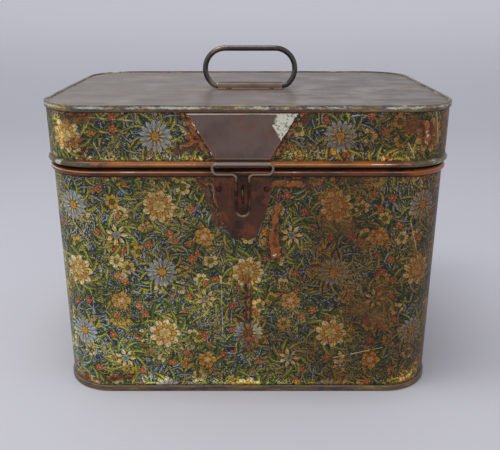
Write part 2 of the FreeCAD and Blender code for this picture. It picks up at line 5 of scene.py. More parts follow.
import bpy
import numpy as np
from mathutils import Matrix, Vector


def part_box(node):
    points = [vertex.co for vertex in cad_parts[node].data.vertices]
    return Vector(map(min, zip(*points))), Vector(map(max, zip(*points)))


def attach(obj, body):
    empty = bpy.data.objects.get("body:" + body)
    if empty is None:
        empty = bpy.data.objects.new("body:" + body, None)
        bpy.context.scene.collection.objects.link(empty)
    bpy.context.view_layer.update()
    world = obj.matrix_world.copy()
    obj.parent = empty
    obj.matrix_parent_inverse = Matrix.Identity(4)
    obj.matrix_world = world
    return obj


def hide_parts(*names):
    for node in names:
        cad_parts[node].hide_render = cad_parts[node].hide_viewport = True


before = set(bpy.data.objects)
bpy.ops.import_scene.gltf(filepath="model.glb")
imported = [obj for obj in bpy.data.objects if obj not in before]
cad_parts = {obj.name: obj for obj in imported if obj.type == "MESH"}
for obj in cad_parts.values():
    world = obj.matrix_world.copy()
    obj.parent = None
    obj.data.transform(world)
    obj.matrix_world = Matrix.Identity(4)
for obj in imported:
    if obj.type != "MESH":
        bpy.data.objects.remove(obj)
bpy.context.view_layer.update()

MM = 0.001

bl_info = {
    "name": "Papered tin trunk",
    "version": (1, 0, 0),
    "blender": (4, 5, 0),
    "location": "View3D > Sidebar > Trunk",
    "description": "Dresses the trunk's tinplate, papers, wirework and stage",
    "category": "Object",
}


def linear(code):
    """Turn an sRGB hex colour into linear red, green, blue and alpha."""
    channels = [int(code[i:i + 2], 16) / 255 for i in (1, 3, 5)]
    return tuple(c / 12.92 if c <= 0.04045 else ((c + 0.055) / 1.055) ** 2.4 for c in channels) + (1,)


def colour(name, description, code):
    """A colour that a user may change, given as sRGB hex."""
    return bpy.props.FloatVectorProperty(
        name=name, description=description, subtype="COLOR", size=4, min=0, max=1, default=linear(code))


def number(name, description, default, **options):
    """A number that a user may change."""
    return bpy.props.FloatProperty(name=name, description=description, default=default, **options)


def length(name, description, millimetres):
    """A length that a user may change, given in millimetres."""
    return number(name, description, millimetres * MM, unit="LENGTH")


class TrunkPaperSettings(bpy.types.PropertyGroup):
    """Sizes of the pasted paper and the colours of its print"""

    step: length("Grid step", "Distance between the points of a paper skin", 2.5)
    thickness: length("Thickness", "Thickness of the paper", 0.15)
    ripple: length("Ripple", "How far the pasted paper rises and dips", 0.08)
    body_corner: length("Body corner", "Corner radius of the body's paper", 49.2)
    lid_corner: length("Lid corner", "Corner radius of the lid's paper", 51.25)
    top_corner: length("Top corner", "Corner radius of the paper on the lid's panel", 49)
    ground: colour("Ground", "Dark blue ground of the print", "#1b2a45")
    scribble: colour("Scribble", "Fine pale lines on the ground", "#a9afac")
    shade_leaf: colour("Shade leaf", "Deep green leaves", "#2f3b1a")
    mid_leaf: colour("Middle leaf", "Olive leaves", "#606a1e")
    light_leaf: colour("Light leaf", "Yellow-green leaves", "#a99f2e")
    scroll_leaf: colour("Scroll leaf", "Grey scrolling leaves", "#9aa098")
    cream: colour("Cream", "Pale petals", "#e0c885")
    ochre: colour("Ochre", "Yellow petals", "#c2952a")
    orange: colour("Orange", "Orange petals", "#c8722e")
    red: colour("Red", "Small red blossoms", "#c8562b")
    pale_petal: colour("Pale petal", "Aster petals", "#a7aaa4")
    outline: colour("Outline", "Dark outline of the motifs", "#1b1a1a")
    stain: colour("Stain", "Brown of old varnish", "#a9834a")
    grime: colour("Grime", "Dirt in the paper's grain", "#6a5b3c")
    faded: colour("Faded", "Lightening of print that has bleached", "#8b9dae")
    handled: colour("Handled", "Print that hands have rubbed brown", "#7d5a30")
    bare_paper: colour("Bare paper", "Torn and rubbed paper", "#c5b288")
    rubbed_top: colour("Rubbed top", "Paper of the lid's panel", "#6c6258")
    dark_streak: colour("Dark streak", "Dirt rubbed along the lid's panel", "#4e453b")
    pale_streak: colour("Pale streak", "Scratched paper on the lid's panel", "#847b72")


class TrunkMetalSettings(bpy.types.PropertyGroup):
    """Colours of the tinplate, its japanning and the iron"""

    japan: colour("Japan", "Brown japanning", "#5f3219")
    # Dark japan is also painted shade: on the lower half of the body's bead, on the hasp plate's shelf and
    # roll and on the hasp's legs.
    dark_japan: colour("Dark japan", "Dark red-brown japanning", "#3b2018")
    # Deep japan is also painted shade: on the edges under the beads, on the collar in the gap under the lid
    # and over the hasp plate's roll.
    deep_japan_and_painted_shade: colour("Deep japan", "Almost black japanning where beads shade the wall", "#170e0a")
    plate_japan: colour("Plate japan", "Purple-brown of the hasp plate", "#65534a")
    shield_japan: colour("Shield japan", "Red-brown of the staple's plate", "#4a2b16")
    amber: colour("Amber", "Amber varnish of the lid's bead", "#94581c")
    # Gold on the lid bead's crest is rubbed varnish laid where the highlight falls: a painted highlight as
    # well as wear.
    gold: colour("Gold", "Rubbed crest of the lid's bead", "#c8964c")
    bead_japan: colour("Bead japan", "Red-brown of the body's bead", "#71371a")
    # Rose on the body bead's crest is rubbed varnish laid where the highlight falls: a painted highlight as
    # well as wear.
    rose: colour("Rose", "Rubbed crest of the body's bead", "#d09a68")
    rust: colour("Rust", "Orange rust", "#97521b")
    chip: colour("Chip", "Pale chips of ground coat", "#ddd8c2")
    # Paste is also laid along the lid seam's crest as its painted highlight.
    paste: colour("Paste", "Pale flakes of old paste", "#d3d4bf")
    seam: colour("Seam", "Worn varnish on the seams", "#6f5f4b")
    ink: colour("Ink", "Dark remains of print on the seams", "#2c3240")
    sap: colour("Sap", "Green remains of print on the seams", "#5b6232")
    foot: colour("Foot", "Grey-brown of the bottom seam", "#6a5038")
    bare_tin: colour("Bare tin", "Dulled tinplate inside", "#827d75")
    tin_stain: colour("Tin stain", "Brown blooms on the bare tin", "#5c4c3c")
    iron: colour("Iron", "Dark oxidised wire", "#4a4546")
    # Bright iron is also a painted highlight on the hasp's shoulders and foot and on the hasp plate's roll.
    bright_iron: colour("Bright iron", "Wire polished by hands", "#a39079")
    # Sleeve is also a painted highlight on the hasp plate's bend.
    sleeve: colour("Sleeve", "Rubbed varnish of the handle's saddle", "#7a6858")


class TrunkStageSettings(bpy.types.PropertyGroup):
    """Floor, light and camera"""

    floor: colour("Floor", "Pale floor and backdrop", "#c6c5cd")
    lens: number("Lens", "Focal length on a 36 mm wide frame", 46.67)
    eye_x: length("Eye across", "Camera's place to the right", 2.1)
    eye_y: length("Eye distance", "Camera's place to the back", -738.6)
    eye_z: length("Eye height", "Camera's height over the floor", 398.5)
    pitch: number("Pitch", "How far the camera looks down", math.radians(19.41), subtype="ANGLE")
    # The backdrop's paler top is painted light.
    backdrop: colour("Backdrop", "Top of the backdrop", "#dcdbe3")
    key_power: number("Key", "Power of the overhead light in watts", 11)
    horizon_strength: number("Horizon", "Even light from around", 0.92)
    zenith_strength: number("Zenith", "Even light from above", 0.66)


def pigment(name):
    """A colour from the settings of the paper, the metal or the stage."""
    scene = bpy.context.scene
    groups = (scene.trunk_paper, scene.trunk_metal, scene.trunk_stage)
    return next(getattr(group, name) for group in groups if hasattr(group, name))


def add(kind, inputs=(), out=None, tree=None, **settings):
    """Add a shader node with its settings, values and links, and return an output, or else the first in use.

    The kind may end in an operation, as in "Math ADD". Inputs go by name, or in turn to those in use, and a
    value may be the name of a colour. The node goes into the given tree, or else that of its linked inputs.
    """
    kind, _, operation = kind.partition(" ")
    values = inputs if isinstance(inputs, dict) else dict(enumerate(inputs))
    linked = [value for value in values.values() if isinstance(value, bpy.types.NodeSocket)]
    tree = tree or linked[0].id_data
    node = tree.nodes.new("ShaderNode" + kind)
    if operation:
        node.operation = operation
    for setting, value in settings.items():
        setattr(node, setting, value)
    in_use = [socket for socket in node.inputs if socket.enabled]
    for key, value in values.items():
        socket = in_use[key] if isinstance(key, int) else node.inputs[key]
        if isinstance(value, bpy.types.NodeSocket):
            tree.links.new(value, socket)
        else:
            socket.default_value = pigment(value) if isinstance(value, str) else value
    if out:
        return node.outputs[out]
    return next((socket for socket in node.outputs if socket.enabled), None)


def coat(under, cover, pattern, low, high, share=1, blend="MIX"):
    """Lay or blend a colour over another, by a share at most, where a pattern goes from low to high."""
    mask = add("MapRange", (pattern, low, high, 0, share), interpolation_type="SMOOTHSTEP")
    return add("Mix", (mask, under, cover), data_type="RGBA", blend_type=blend)


def within(value, low, high, soft):
    """Share that is one while the value lies between low and high, with soft ends."""
    above = add("MapRange", (value, low - soft, low + soft))
    below = add("MapRange", (value, high + soft, high - soft))
    return add("Math MULTIPLY", (above, below))


def cloud(place, size, detail=3, roughness=0.55, stretch=(1, 1, 1)):
    """Noise around 0.5 in patches of about this size in millimetres, longer where stretch is under one."""
    scaled = add("VectorMath MULTIPLY", (place, stretch))
    return add("TexNoise", {"Vector": scaled, "Scale": 1 / size, "Detail": detail, "Roughness": roughness})


def coats(place, colours, *layers):
    """Lay coats in turn: each has a colour, the noise that cloud takes, and what coat takes after that."""
    for cover, noise, *limits in layers:
        colours = coat(colours, cover, cloud(place, *noise), *limits)
    return colours


def frayed(place, value, amount, *noise):
    """A value made uneven by this amount of noise, given as cloud takes it."""
    return add("Math MULTIPLY_ADD", (cloud(place, *noise), amount, value))


def finish_material(name, build, *given):
    """Make a material whose shader comes from build(tree, ...)."""
    material = bpy.data.materials.new(name)
    material.use_nodes = True
    material.node_tree.nodes.clear()
    shader = build(material.node_tree, *given)
    add("OutputMaterial", (shader,))
    return material


def in_millimetres(coordinates):
    """Coordinates in millimetres, as one vector and its three parts."""
    place = add("VectorMath SCALE", (coordinates, 1 / MM))
    return place, *add("SeparateXYZ", (place,)).node.outputs


def object_place(tree):
    """Object coordinates, and x, y and z."""
    return in_millimetres(add("TexCoord", out="Object", tree=tree))


def paper_place(tree):
    """The paper's own coordinates, and their parts along it, up it and nought."""
    return in_millimetres(add("UVMap", uv_map="paper", tree=tree))


# The print repeats on a diamond lattice: one repeat is REPEAT_WIDTH wide and REPEAT_HEIGHT high, with a
# second one in the middle of it.
REPEAT_WIDTH = 172
REPEAT_HEIGHT = 138
PRINT_SOFTNESS = 0.5     # blur of a printed edge, in millimetres
PRINT_LINE = 0.6         # width of a printed outline
VINE_SPACING = 21        # width of the meshes between the vines


def lattice(place):
    """Coordinates that go up by one from repeat to repeat: x/W + y/H and x/W - y/H."""
    across = 1 / REPEAT_WIDTH
    up = 1 / REPEAT_HEIGHT
    rising = add("VectorMath DOT_PRODUCT", (place, (across, up, 0)))
    falling = add("VectorMath DOT_PRODUCT", (place, (across, -up, 0)))
    return add("CombineXYZ", (rising, falling))


def motif_polar(repeats, across, up):
    """Distance in millimetres and angle from a motif at this place of the repeat.

    The lattice coordinates are wrapped to one repeat round the motif. Their sum and difference give x and y.
    """
    middle = (across / REPEAT_WIDTH + up / REPEAT_HEIGHT, across / REPEAT_WIDTH - up / REPEAT_HEIGHT, 0)
    offset = add("VectorMath SUBTRACT", (repeats, middle))
    local = add("VectorMath WRAP", (offset, (0.5, 0.5, 0.5), (-0.5, -0.5, -0.5)))
    x_axis = (REPEAT_WIDTH / 2, REPEAT_WIDTH / 2, 0)
    y_axis = (REPEAT_HEIGHT / 2, -REPEAT_HEIGHT / 2, 0)
    x = add("VectorMath DOT_PRODUCT", (local, x_axis))
    y = add("VectorMath DOT_PRODUCT", (local, y_axis))
    distance = add("VectorMath LENGTH", (add("CombineXYZ", (x, y)),))
    return distance, add("Math ARCTAN2", (y, x))


def printed_shape(layers, inside, fill):
    """Print a shape with a dark outline over (colour, share covered), by the distance inside its edge."""
    under, covered = layers
    soft = PRINT_SOFTNESS / 2
    rim = (-PRINT_LINE - soft, -PRINT_LINE + soft)
    colours = coat(coat(under, "outline", inside, *rim), fill, inside, -soft, soft)
    return colours, add("Math MAXIMUM", (covered, add("MapRange", (inside, *rim))))


def petal_ring(layers, polar, radius, petals, depth, middle, edge, pointed=False):
    """Print a ring of petals of radius R = radius (1 - depth + depth |cos(petals angle / 2)|).

    Pointed petals use 1 - |sin| for |cos|. The fill goes from the middle colour to the edge colour, a line
    parts each petal from the next, and finer engraved lines run along it.
    """
    distance, angle = polar
    phase = add("Math MULTIPLY", (angle, petals / 2))
    wave = add("Math SINE" if pointed else "Math COSINE", (phase,))
    swing = add("Math ABSOLUTE", (wave,))
    if pointed:
        swing = add("Math SUBTRACT", (1, swing))
    reach = add("Math MULTIPLY_ADD", (swing, radius * depth, radius * (1 - depth)))
    inside = add("Math SUBTRACT", (reach, distance))
    hatch = add("Math SINE", (add("Math MULTIPLY", (phase, 5)),))
    fill = coat(middle, edge, distance, 0, radius)
    fill = coat(fill, "outline", hatch, 0.4, 0.95, 0.6)
    fill = coat(fill, "outline", swing, 0.25, 0.08)
    return printed_shape(layers, inside, fill)


def printed_leaf(layers, along, across, half_length, half_width, bend, fill, shade):
    """Print a bent leaf, darker on one side of its rib, with veins that slant off the rib.

    The distance within its edge is half_width (1 - t^2) - |y - bend t^2|, with t from -1 to 1 along it.
    """
    run = add("Math MULTIPLY", (along, 1 / half_length))
    square = add("Math MULTIPLY", (run, run))
    lifted = add("Math MULTIPLY_ADD", (square, -bend, across))
    off_rib = add("Math ABSOLUTE", (lifted,))
    width = add("Math MULTIPLY_ADD", (square, -half_width, half_width))
    inside = add("Math SUBTRACT", (width, off_rib))
    slant = add("Math MULTIPLY_ADD", (along, 1.2, lifted))
    veins = add("Math SINE", (add("Math MULTIPLY", (slant, 2.6)),))
    toned = coat(fill, shade, lifted, -0.4, 0.4)
    return printed_shape(layers, inside, coat(toned, shade, veins, 0.4, 0.9, 0.6))


def leaf_wheel(layers, polar, leaves, middle, half_length, half_width, twist, fill, shade):
    """Print a wheel of curled, toothed leaves round a flower, each along angle = turn - twist x distance."""
    distance, angle = polar
    curled = add("Math MULTIPLY_ADD", (distance, twist, angle))
    folded = add("Math WRAP", (curled, math.pi / leaves, -math.pi / leaves))
    across = add("Math MULTIPLY", (folded, distance))
    toothed = add("Math SINE", (add("Math MULTIPLY", (distance, 2.2)),))
    across = add("Math MULTIPLY_ADD", (toothed, 0.35, across))
    along = add("Math SUBTRACT", (distance, middle))
    return printed_leaf(layers, along, across, half_length, half_width, 0, fill, shade)


def scatter(place, spacing):
    """One spot in each cell of a Voronoi pattern: place from its middle, turned at random, and chances."""
    cells = {"Vector": place, "Scale": 1 / spacing}
    middle = add("TexVoronoi", cells, out="Position", voronoi_dimensions="2D")
    chance = add("SeparateColor", (middle.node.outputs["Color"],)).node.outputs
    offset = add("VectorMath SUBTRACT", (place, middle))
    angle = add("Math MULTIPLY", (chance[0], math.tau))
    spot = add("VectorRotate", {"Vector": offset, "Angle": angle}, rotation_type="Z_AXIS")
    x, y, _ = add("SeparateXYZ", (spot,)).node.outputs
    return spot, x, y, chance


def scattered_leaves(layers, place, spacing, half_length, half_width, bend, fill, other_fill, shade):
    """Print leaves of two colours strewn at random."""
    _, x, y, chance = scatter(place, spacing)
    fill = coat(fill, other_fill, chance[1], 0.45, 0.55)
    return printed_leaf(layers, x, y, half_length, half_width, bend, fill, shade)


def scattered_blossoms(layers, place, spacing, radius, petals, depth, share, fill, other_fill, eye):
    """Print small flowers of two colours strewn at random, in this share of the cells."""
    spot, x, y, chance = scatter(place, spacing)
    left_out = add("Math GREATER_THAN", (chance[2], share))
    distance = add("VectorMath LENGTH", (spot,))
    distance = add("Math MULTIPLY_ADD", (left_out, 2 * radius, distance))
    polar = distance, add("Math ARCTAN2", (y, x))
    edge = coat(fill, other_fill, chance[1], 0.45, 0.55)
    layers = petal_ring(layers, polar, radius, petals, depth, fill, edge)
    return petal_ring(layers, polar, radius * 0.34, petals, 0.1, eye, eye)


def contours(place, size, lines):
    """Wandering lines like those of a map: 0.5 on a line and 0 between two, from noise of this size."""
    height = add("Math MULTIPLY", (cloud(place, size, 2), lines))
    return add("Math PINGPONG", (height, 0.5))


def strewn_print(place):
    """Dark ground with fine pale scribbles and vines, strewn with leaves and small blossoms."""
    ground = coat("ground", "scribble", contours(place, 9, 10), 0.34, 0.44)
    vines = add("TexVoronoi", {"Vector": place, "Scale": 1 / VINE_SPACING}, voronoi_dimensions="2D",
                feature="DISTANCE_TO_EDGE")
    off_vine = add("Math MULTIPLY", (vines, VINE_SPACING))
    layers = coat(ground, "light_leaf", off_vine, 0.8, 0.3), 0
    # Shift along and up, then spacing, half length, half width, bend, two fills and shade of leaves, or
    # spacing, radius, petals, depth of the notches, share of the cells, two fills and eye of blossoms.
    strewn = (
        (scattered_leaves, (0, 0), 6.5, 4.4, 1.3, 1, "scroll_leaf", "shade_leaf", "ground"),
        (scattered_leaves, (41, 16.4), 9, 6, 1.7, 1.6, "mid_leaf", "light_leaf", "shade_leaf"),
        (scattered_leaves, (-63, -25.2), 11, 6.5, 1.5, 2.2, "light_leaf", "shade_leaf", "mid_leaf"),
        (scattered_leaves, (90, 36), 16, 9.5, 1.4, 3.6, "scroll_leaf", "ochre", "mid_leaf"),
        (scattered_blossoms, (0, 0), 26, 7.5, 6, 0.3, 0.7, "ochre", "cream", "mid_leaf"),
        (scattered_blossoms, (15, 55), 19, 4, 5, 0.35, 0.6, "red", "orange", "ochre"),
    )
    for kind, shift, *sizes in strewn:
        shifted = add("VectorMath ADD", (place, (*shift, 0)))
        layers = kind(layers, shifted, *sizes)
    return layers[0]


# Leaf wheels of each flower: leaves, middle of a leaf, half length, half width, twist, fill, shade.
WHEELS = {
    "peony": (
        (11, 27, 8.5, 2.5, 0.03, "mid_leaf", "shade_leaf"),
        (9, 20, 7.5, 2.3, -0.05, "light_leaf", "mid_leaf")),
    "aster": (
        (13, 26, 8.5, 1.8, 0.04, "scroll_leaf", "ground"),
        (9, 20, 7.5, 2.2, -0.03, "light_leaf", "shade_leaf")),
    "star": ((9, 16.5, 7.5, 2.2, 0.05, "light_leaf", "mid_leaf"),),
    "rose": ((8, 15, 7, 2.3, -0.05, "mid_leaf", "shade_leaf"),),
}
# Petal rings of each flower, outermost first: radius, petals, depth, middle colour, edge colour, pointed.
RINGS = {
    "peony": (
        (16.5, 9, 0.3, "orange", "cream"), (11.5, 8, 0.28, "red", "ochre"),
        (6.5, 7, 0.28, "ochre", "cream")),
    "aster": (
        (15.5, 15, 0.36, "ground", "pale_petal"), (9.5, 11, 0.45, "ground", "cream", True),
        (4, 9, 0.15, "orange", "ochre")),
    "star": ((11.5, 7, 0.42, "ochre", "cream", True), (4.2, 6, 0.2, "mid_leaf", "scroll_leaf")),
    "rose": ((10, 5, 0.3, "orange", "ochre"), (5, 5, 0.25, "cream", "orange")),
}
# Flowers of one repeat: kind, across, up.
FLOWERS = (
    ("aster", 0, REPEAT_HEIGHT / 2), ("peony", 0, 0), ("star", REPEAT_WIDTH / 4, REPEAT_HEIGHT / 4 + 5),
    ("rose", REPEAT_WIDTH / 4, -REPEAT_HEIGHT / 4 + 3),
)


def floral_print(place):
    """Colour of the print: flowers in a diamond repeat over strewn foliage, with pale engraved lines."""
    repeats = lattice(place)
    layers = "ground", 0
    for kind, across, up in FLOWERS:
        polar = motif_polar(repeats, across, up)
        for wheel in WHEELS[kind]:
            layers = leaf_wheel(layers, polar, *wheel)
        for ring in RINGS[kind]:
            layers = petal_ring(layers, polar, *ring)
    motifs, covered = layers
    colours = coat(strewn_print(place), motifs, covered, 0, 1)
    engraved = add("Math MULTIPLY", (contours(place, 8, 8), cloud(place, 30)))
    return coat(colours, "cream", engraved, 0.21, 0.25, 0.6)


def print_group():
    """The print as one node group, made once: place in millimetres in, colour out."""
    if "floral_print" in bpy.data.node_groups:
        return bpy.data.node_groups["floral_print"]
    tree = bpy.data.node_groups.new("floral_print", "ShaderNodeTree")
    tree.interface.new_socket("Place", in_out="INPUT", socket_type="NodeSocketVector")
    tree.interface.new_socket("Colour", in_out="OUTPUT", socket_type="NodeSocketColor")
    place = tree.nodes.new("NodeGroupInput").outputs[0]
    colours = floral_print(place)
    tree.links.new(colours, tree.nodes.new("NodeGroupOutput").inputs[0])
    return tree


# Marks on the papers, as strokes in millimetres: from along and up, to along and up, half width. Tears bare
# the tin, creases whiten the print, stains brown it and bleached places pale it. Browning is how much
# browner the varnish is on the right.
BODY_MARKS = {
    "browning": 0.3,
    "tears": (
        (31, 231, 27, 205, 0.6), (29, 205, 24, 178, 2), (25, 178, 28, 158, 4.6),
        (26, 230, 52, 229, 2.6), (-46, 233, -36, 230, 1.2), (-34, 226, -25, 188, 0.2),
        (0.5, 124, 0.5, 50, 0.6), (-5, 62, 8, 62, 1.8), (-2, 132, -2, 128, 1), (-150, 16, -122, 18, 0.6),
        (-190, 10, -172, 13, 1), (330, 20, 330, 90, 0.8),
        (-330, 140, -330, 225, 0.6), (520, 60, 560, 30, 1.5), (700, 228, 760, 232, 1.5),
    ),
    "creases": (
        (-27, 134, -26, 64, 0.1), (90, 40, 140, 52, 0.1), (160, 190, 172, 150, 0.1),
        (-160, 60, -158, 110, 0.1), (260, 170, 300, 120, 0.1), (-280, 60, -300, 110, 0.1),
        (600, 100, 660, 140, 0.1),
    ),
    "stains": (
        (36, 231, 68, 229, 3), (0, 120, 0, 56, 0.6), (-186, 10, -160, 12, 1),
        (-150, 15, -126, 16, 2), (-42, 228, -30, 190, 2), (480, 40, 600, 30, 8),
    ),
    "bleached": (
        (21, 183, 13, 171, 3), (7, 118, 10, 62, 3), (150, 10, 185, 22, 4),
        (-118, 13, -90, 13, 4), (-60, 10, 130, 10, 1),
        (-190, 40, -188, 90, 1), (300, 200, 340, 150, 4),
    ),
}
LID_MARKS = {
    "browning": 0.14,
    "tears": (
        (-60, 297, -37, 257, 1), (-62, 266, -46, 272, 1.6), (50, 297, 27, 258, 0.2),
        (-168, 296, -150, 296, 0.6), (-166, 268, -156, 272, 1.6), (-154, 258, -150, 264, 1),
        (167, 288, 170, 270, 2.6), (300, 258, 340, 256, 1), (-310, 292, -280, 298, 1.5),
        (640, 262, 700, 256, 1.5),
    ),
    "creases": (
        (-150, 294, -100, 290, 0.1), (-146, 292, -152, 280, 0.1), (-144, 270, -138, 256, 0.3),
        (178, 296, 184, 270, 0.2), (150, 270, 157, 256, 0.1), (580, 290, 620, 270, 0.1),
    ),
    "stains": (
        (-66, 263, -42, 271, 4), (54, 298, 52, 290, 3), (150, 286, 172, 280, 5),
        (-170, 291, -146, 293, 4), (640, 270, 700, 262, 6),
    ),
    "bleached": (
        (-184, 296, -181, 284, 3), (-179, 280, -178, 268, 0.5), (40, 257, 150, 256, 5),
        (154, 266, 158, 256, 3), (-150, 254, -44, 254.5, 0.5), (90, 297, 130, 298, 0.5),
    ),
}
# Tan traces on the lid's panel.
PANEL_TRACES = (
    (-68, -31, -46, -29, 3), (92, -32, 125, -33, 1.5), (163, -28, 184, -20, 3),
    (-140, 90, -110, 88, 2), (60, 96, 90, 98, 2),
)
# Lower and upper edges of the swaged beads, up from the floor.
BODY_BEAD = (236.9, 243.6)
LID_BEAD = (246.1, 252)
INK_DRIFT = 2.8             # how far the print's edges waver, in millimetres
RAGGED = 13                 # how far a torn edge wanders in and out
AROUND = 206                # distance along the wall for one radian of the way round the trunk
ALONG = (0.35, 0.35, 1)     # draws patches out along the walls


def strokes(place, lines):
    """Distance in millimetres outside the nearest stroke: that to its spine, less its half width."""
    nearest = None
    for along, up, end_along, end_up, half_width in lines:
        run = (end_along - along, end_up - up, 0)
        square = run[0] ** 2 + run[1] ** 2
        slope = (run[0] / square, run[1] / square, 0)
        offset = add("VectorMath SUBTRACT", (place, (along, up, 0)))
        travel = add("VectorMath DOT_PRODUCT", (offset, slope))
        share = add("Math ADD", (travel, 0), use_clamp=True)
        spine = add("VectorMath SCALE", (run, share))
        gap = add("VectorMath DISTANCE", (offset, spine))
        outside = add("Math SUBTRACT", (gap, half_width))
        nearest = outside if nearest is None else add("Math MINIMUM", (nearest, outside))
    return nearest


def satin(place, colours, roughness, swing, grain, depth, raised=0, metallic=0, gloss=0.5):
    """Worn surface: grain of this size in mm sways roughness by the swing and height by the depth in mm."""
    pits = cloud(place, grain, 5, 0.6)
    height = add("Math MULTIPLY_ADD", (raised, 0.8, pits))
    bump = add("Bump", {"Strength": 0.4, "Distance": depth * MM, "Height": height})
    shine = add("Math MULTIPLY_ADD", (pits, swing, roughness - swing / 2))
    return add("BsdfPrincipled", {
        "Base Color": colours, "Metallic": metallic, "Roughness": shine, "Specular IOR Level": gloss,
        "Normal": bump})


def worn_through(place):
    """Tin under torn paper: brown varnish with rust, dark stains and flakes of old paste."""
    return coats(
        place, "japan", ("rust", (10, 5, 0.6), 0.38, 0.58),
        ("dark_japan", (5, 6, 0.7), 0.56, 0.68, 0.8), ("paste", (11, 7, 0.7), 0.62, 0.65))


def aged_print(place, along, up, browning):
    """The print under old varnish: browner to the right, grimy in its grain, bleached lower down."""
    wobble = add("TexNoise", {"Vector": place, "Scale": 1 / 7, "Detail": 4, "Roughness": 0.6}, out="Color")
    drift = add("VectorMath SUBTRACT", (wobble, (0.5, 0.5, 0.5)))
    inked = add("VectorMath MULTIPLY_ADD", (drift, (INK_DRIFT, INK_DRIFT, 0), place))
    colours = add("Group", (inked,), node_tree=print_group())
    turn = add("Math SINE", (add("Math DIVIDE", (along, AROUND)),))
    level = add("Math MINIMUM", (turn, 0.55))
    browned = add("Math MULTIPLY_ADD", (level, browning, cloud(place, 60, 4)))
    colours = coat(colours, "stain", browned, 0.2, 0.8, 1, "MULTIPLY")
    colours = coat(colours, "handled", browned, 0.62, 0.95, 0.5)
    bleached = add("Math MULTIPLY_ADD", (turn, -0.16, cloud(place, 16, 6, 0.7, (0.5, 1, 1))))
    bleached = add("Math MULTIPLY_ADD", (up, -0.001, bleached))
    colours = coat(colours, "faded", bleached, 0.34, 0.56, 1, "DODGE")
    return coats(
        place, colours, ("grime", (3, 6, 0.75), 0.46, 0.7, 0.7, "MULTIPLY"),
        ("bare_paper", (2.4, 5, 0.7), 0.66, 0.72, 0.7))


def printed_paper(tree, node, marks):
    """Machine-made paper, printed, pasted and varnished: flat colour under a browned, half-rubbed gloss."""
    place, along, up, _ = paper_place(tree)
    colours = aged_print(place, along, up, marks["browning"])
    ragged = cloud(place, 9, 8, 0.72)
    # Kind of mark, its colour, how far it wanders and fades out past its strokes, share, how it is laid on.
    for kind, tint, wander, fade, share, blend in (
            ("bleached", "paste", RAGGED, 4, 0.8, "DODGE"), ("stains", "japan", RAGGED, 2.5, 0.65, "MIX"),
            ("creases", "bare_paper", RAGGED / 4, 0.4, 0.7, "MIX")):
        off = add("Math MULTIPLY_ADD", (ragged, wander, strokes(place, marks[kind])))
        colours = coat(colours, tint, off, wander / 2 + fade, wander / 2, share, blend)
    edge = RAGGED / 2
    low, high = (corner[2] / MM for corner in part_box(node))
    over_low = add("Math SUBTRACT", (up, low))
    under_high = add("Math SUBTRACT", (high, up))
    border = add("Math MINIMUM", (over_low, under_high))
    torn = strokes(place, marks["tears"])
    near = add("Math MULTIPLY_ADD", (ragged, RAGGED, torn))
    colours = coat(colours, "stain", near, edge + 7, edge, 0.9, "MULTIPLY")
    away = add("Math MULTIPLY_ADD", (ragged, RAGGED, add("Math MINIMUM", (torn, border))))
    lips = within(away, edge - 0.2, edge + 0.7, 0.3)
    lips = add("Math MULTIPLY", (lips, cloud(place, 5, 4)))
    colours = coat(colours, "bare_paper", lips, 0.5, 0.58, 0.8)
    bare = add("MapRange", (away, edge + 0.3, edge - 0.3))
    colours = add("Mix", (bare, colours, worn_through(place)), data_type="RGBA")
    missing = add("Math MULTIPLY", (bare, -1))
    return satin(place, colours, roughness=0.42, swing=0.4, grain=1.6, depth=0.3, raised=missing, gloss=0.3)


def rubbed_paper(tree):
    """Paper on the lid's panel, its print almost rubbed away: grey-brown, streaked, with a dull gloss."""
    place, x, y, _ = paper_place(tree)
    lengthwise = (0.16, 1, 1)
    streaks = cloud(place, 12, 7, 0.68, lengthwise)
    dirt = add("Math MULTIPLY_ADD", (x, 0.0004, streaks))
    colours = coats(
        place, coat("rubbed_top", "dark_streak", dirt, 0.42, 0.68),
        ("pale_streak", (45, 5), 0.46, 0.7, 0.8), ("rust", (20, 6, 0.7, lengthwise), 0.6, 0.75, 0.3),
        ("sap", (17, 6, 0.7, lengthwise), 0.6, 0.75, 0.35))
    remains = frayed(place, add("Math ABSOLUTE", (y,)), 26, 9, 6, 0.7, (0.4, 1, 1))
    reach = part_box("lid_top_paper")[1][1] / MM
    colours = coat(colours, "ink", remains, reach + 8, reach + 12, 0.6)
    colours = coat(colours, "rust", remains, reach + 13, reach + 15, 0.5)
    colours = coats(place, colours, ("pale_streak", (1.8, 4, 0.6, (0.05, 1, 1)), 0.56, 0.72, 0.5))
    traces = add("Math MULTIPLY_ADD", (streaks, 16, strokes(place, PANEL_TRACES)))
    colours = coat(colours, "stain", traces, 12, 6, 0.4)
    return satin(place, colours, roughness=0.36, swing=0.3, grain=2, depth=0.3, gloss=0.35)


def aged_japan(place, coating, deep, worn, wear):
    """Colour of oven-baked varnish: deeper in patches, and worn through in streaks along the wall."""
    return coats(
        place, coating, (deep, (25, 5), 0.4, 0.7), (worn, (14, 7, 0.68, ALONG), 0.72 - wear, 0.86 - wear))


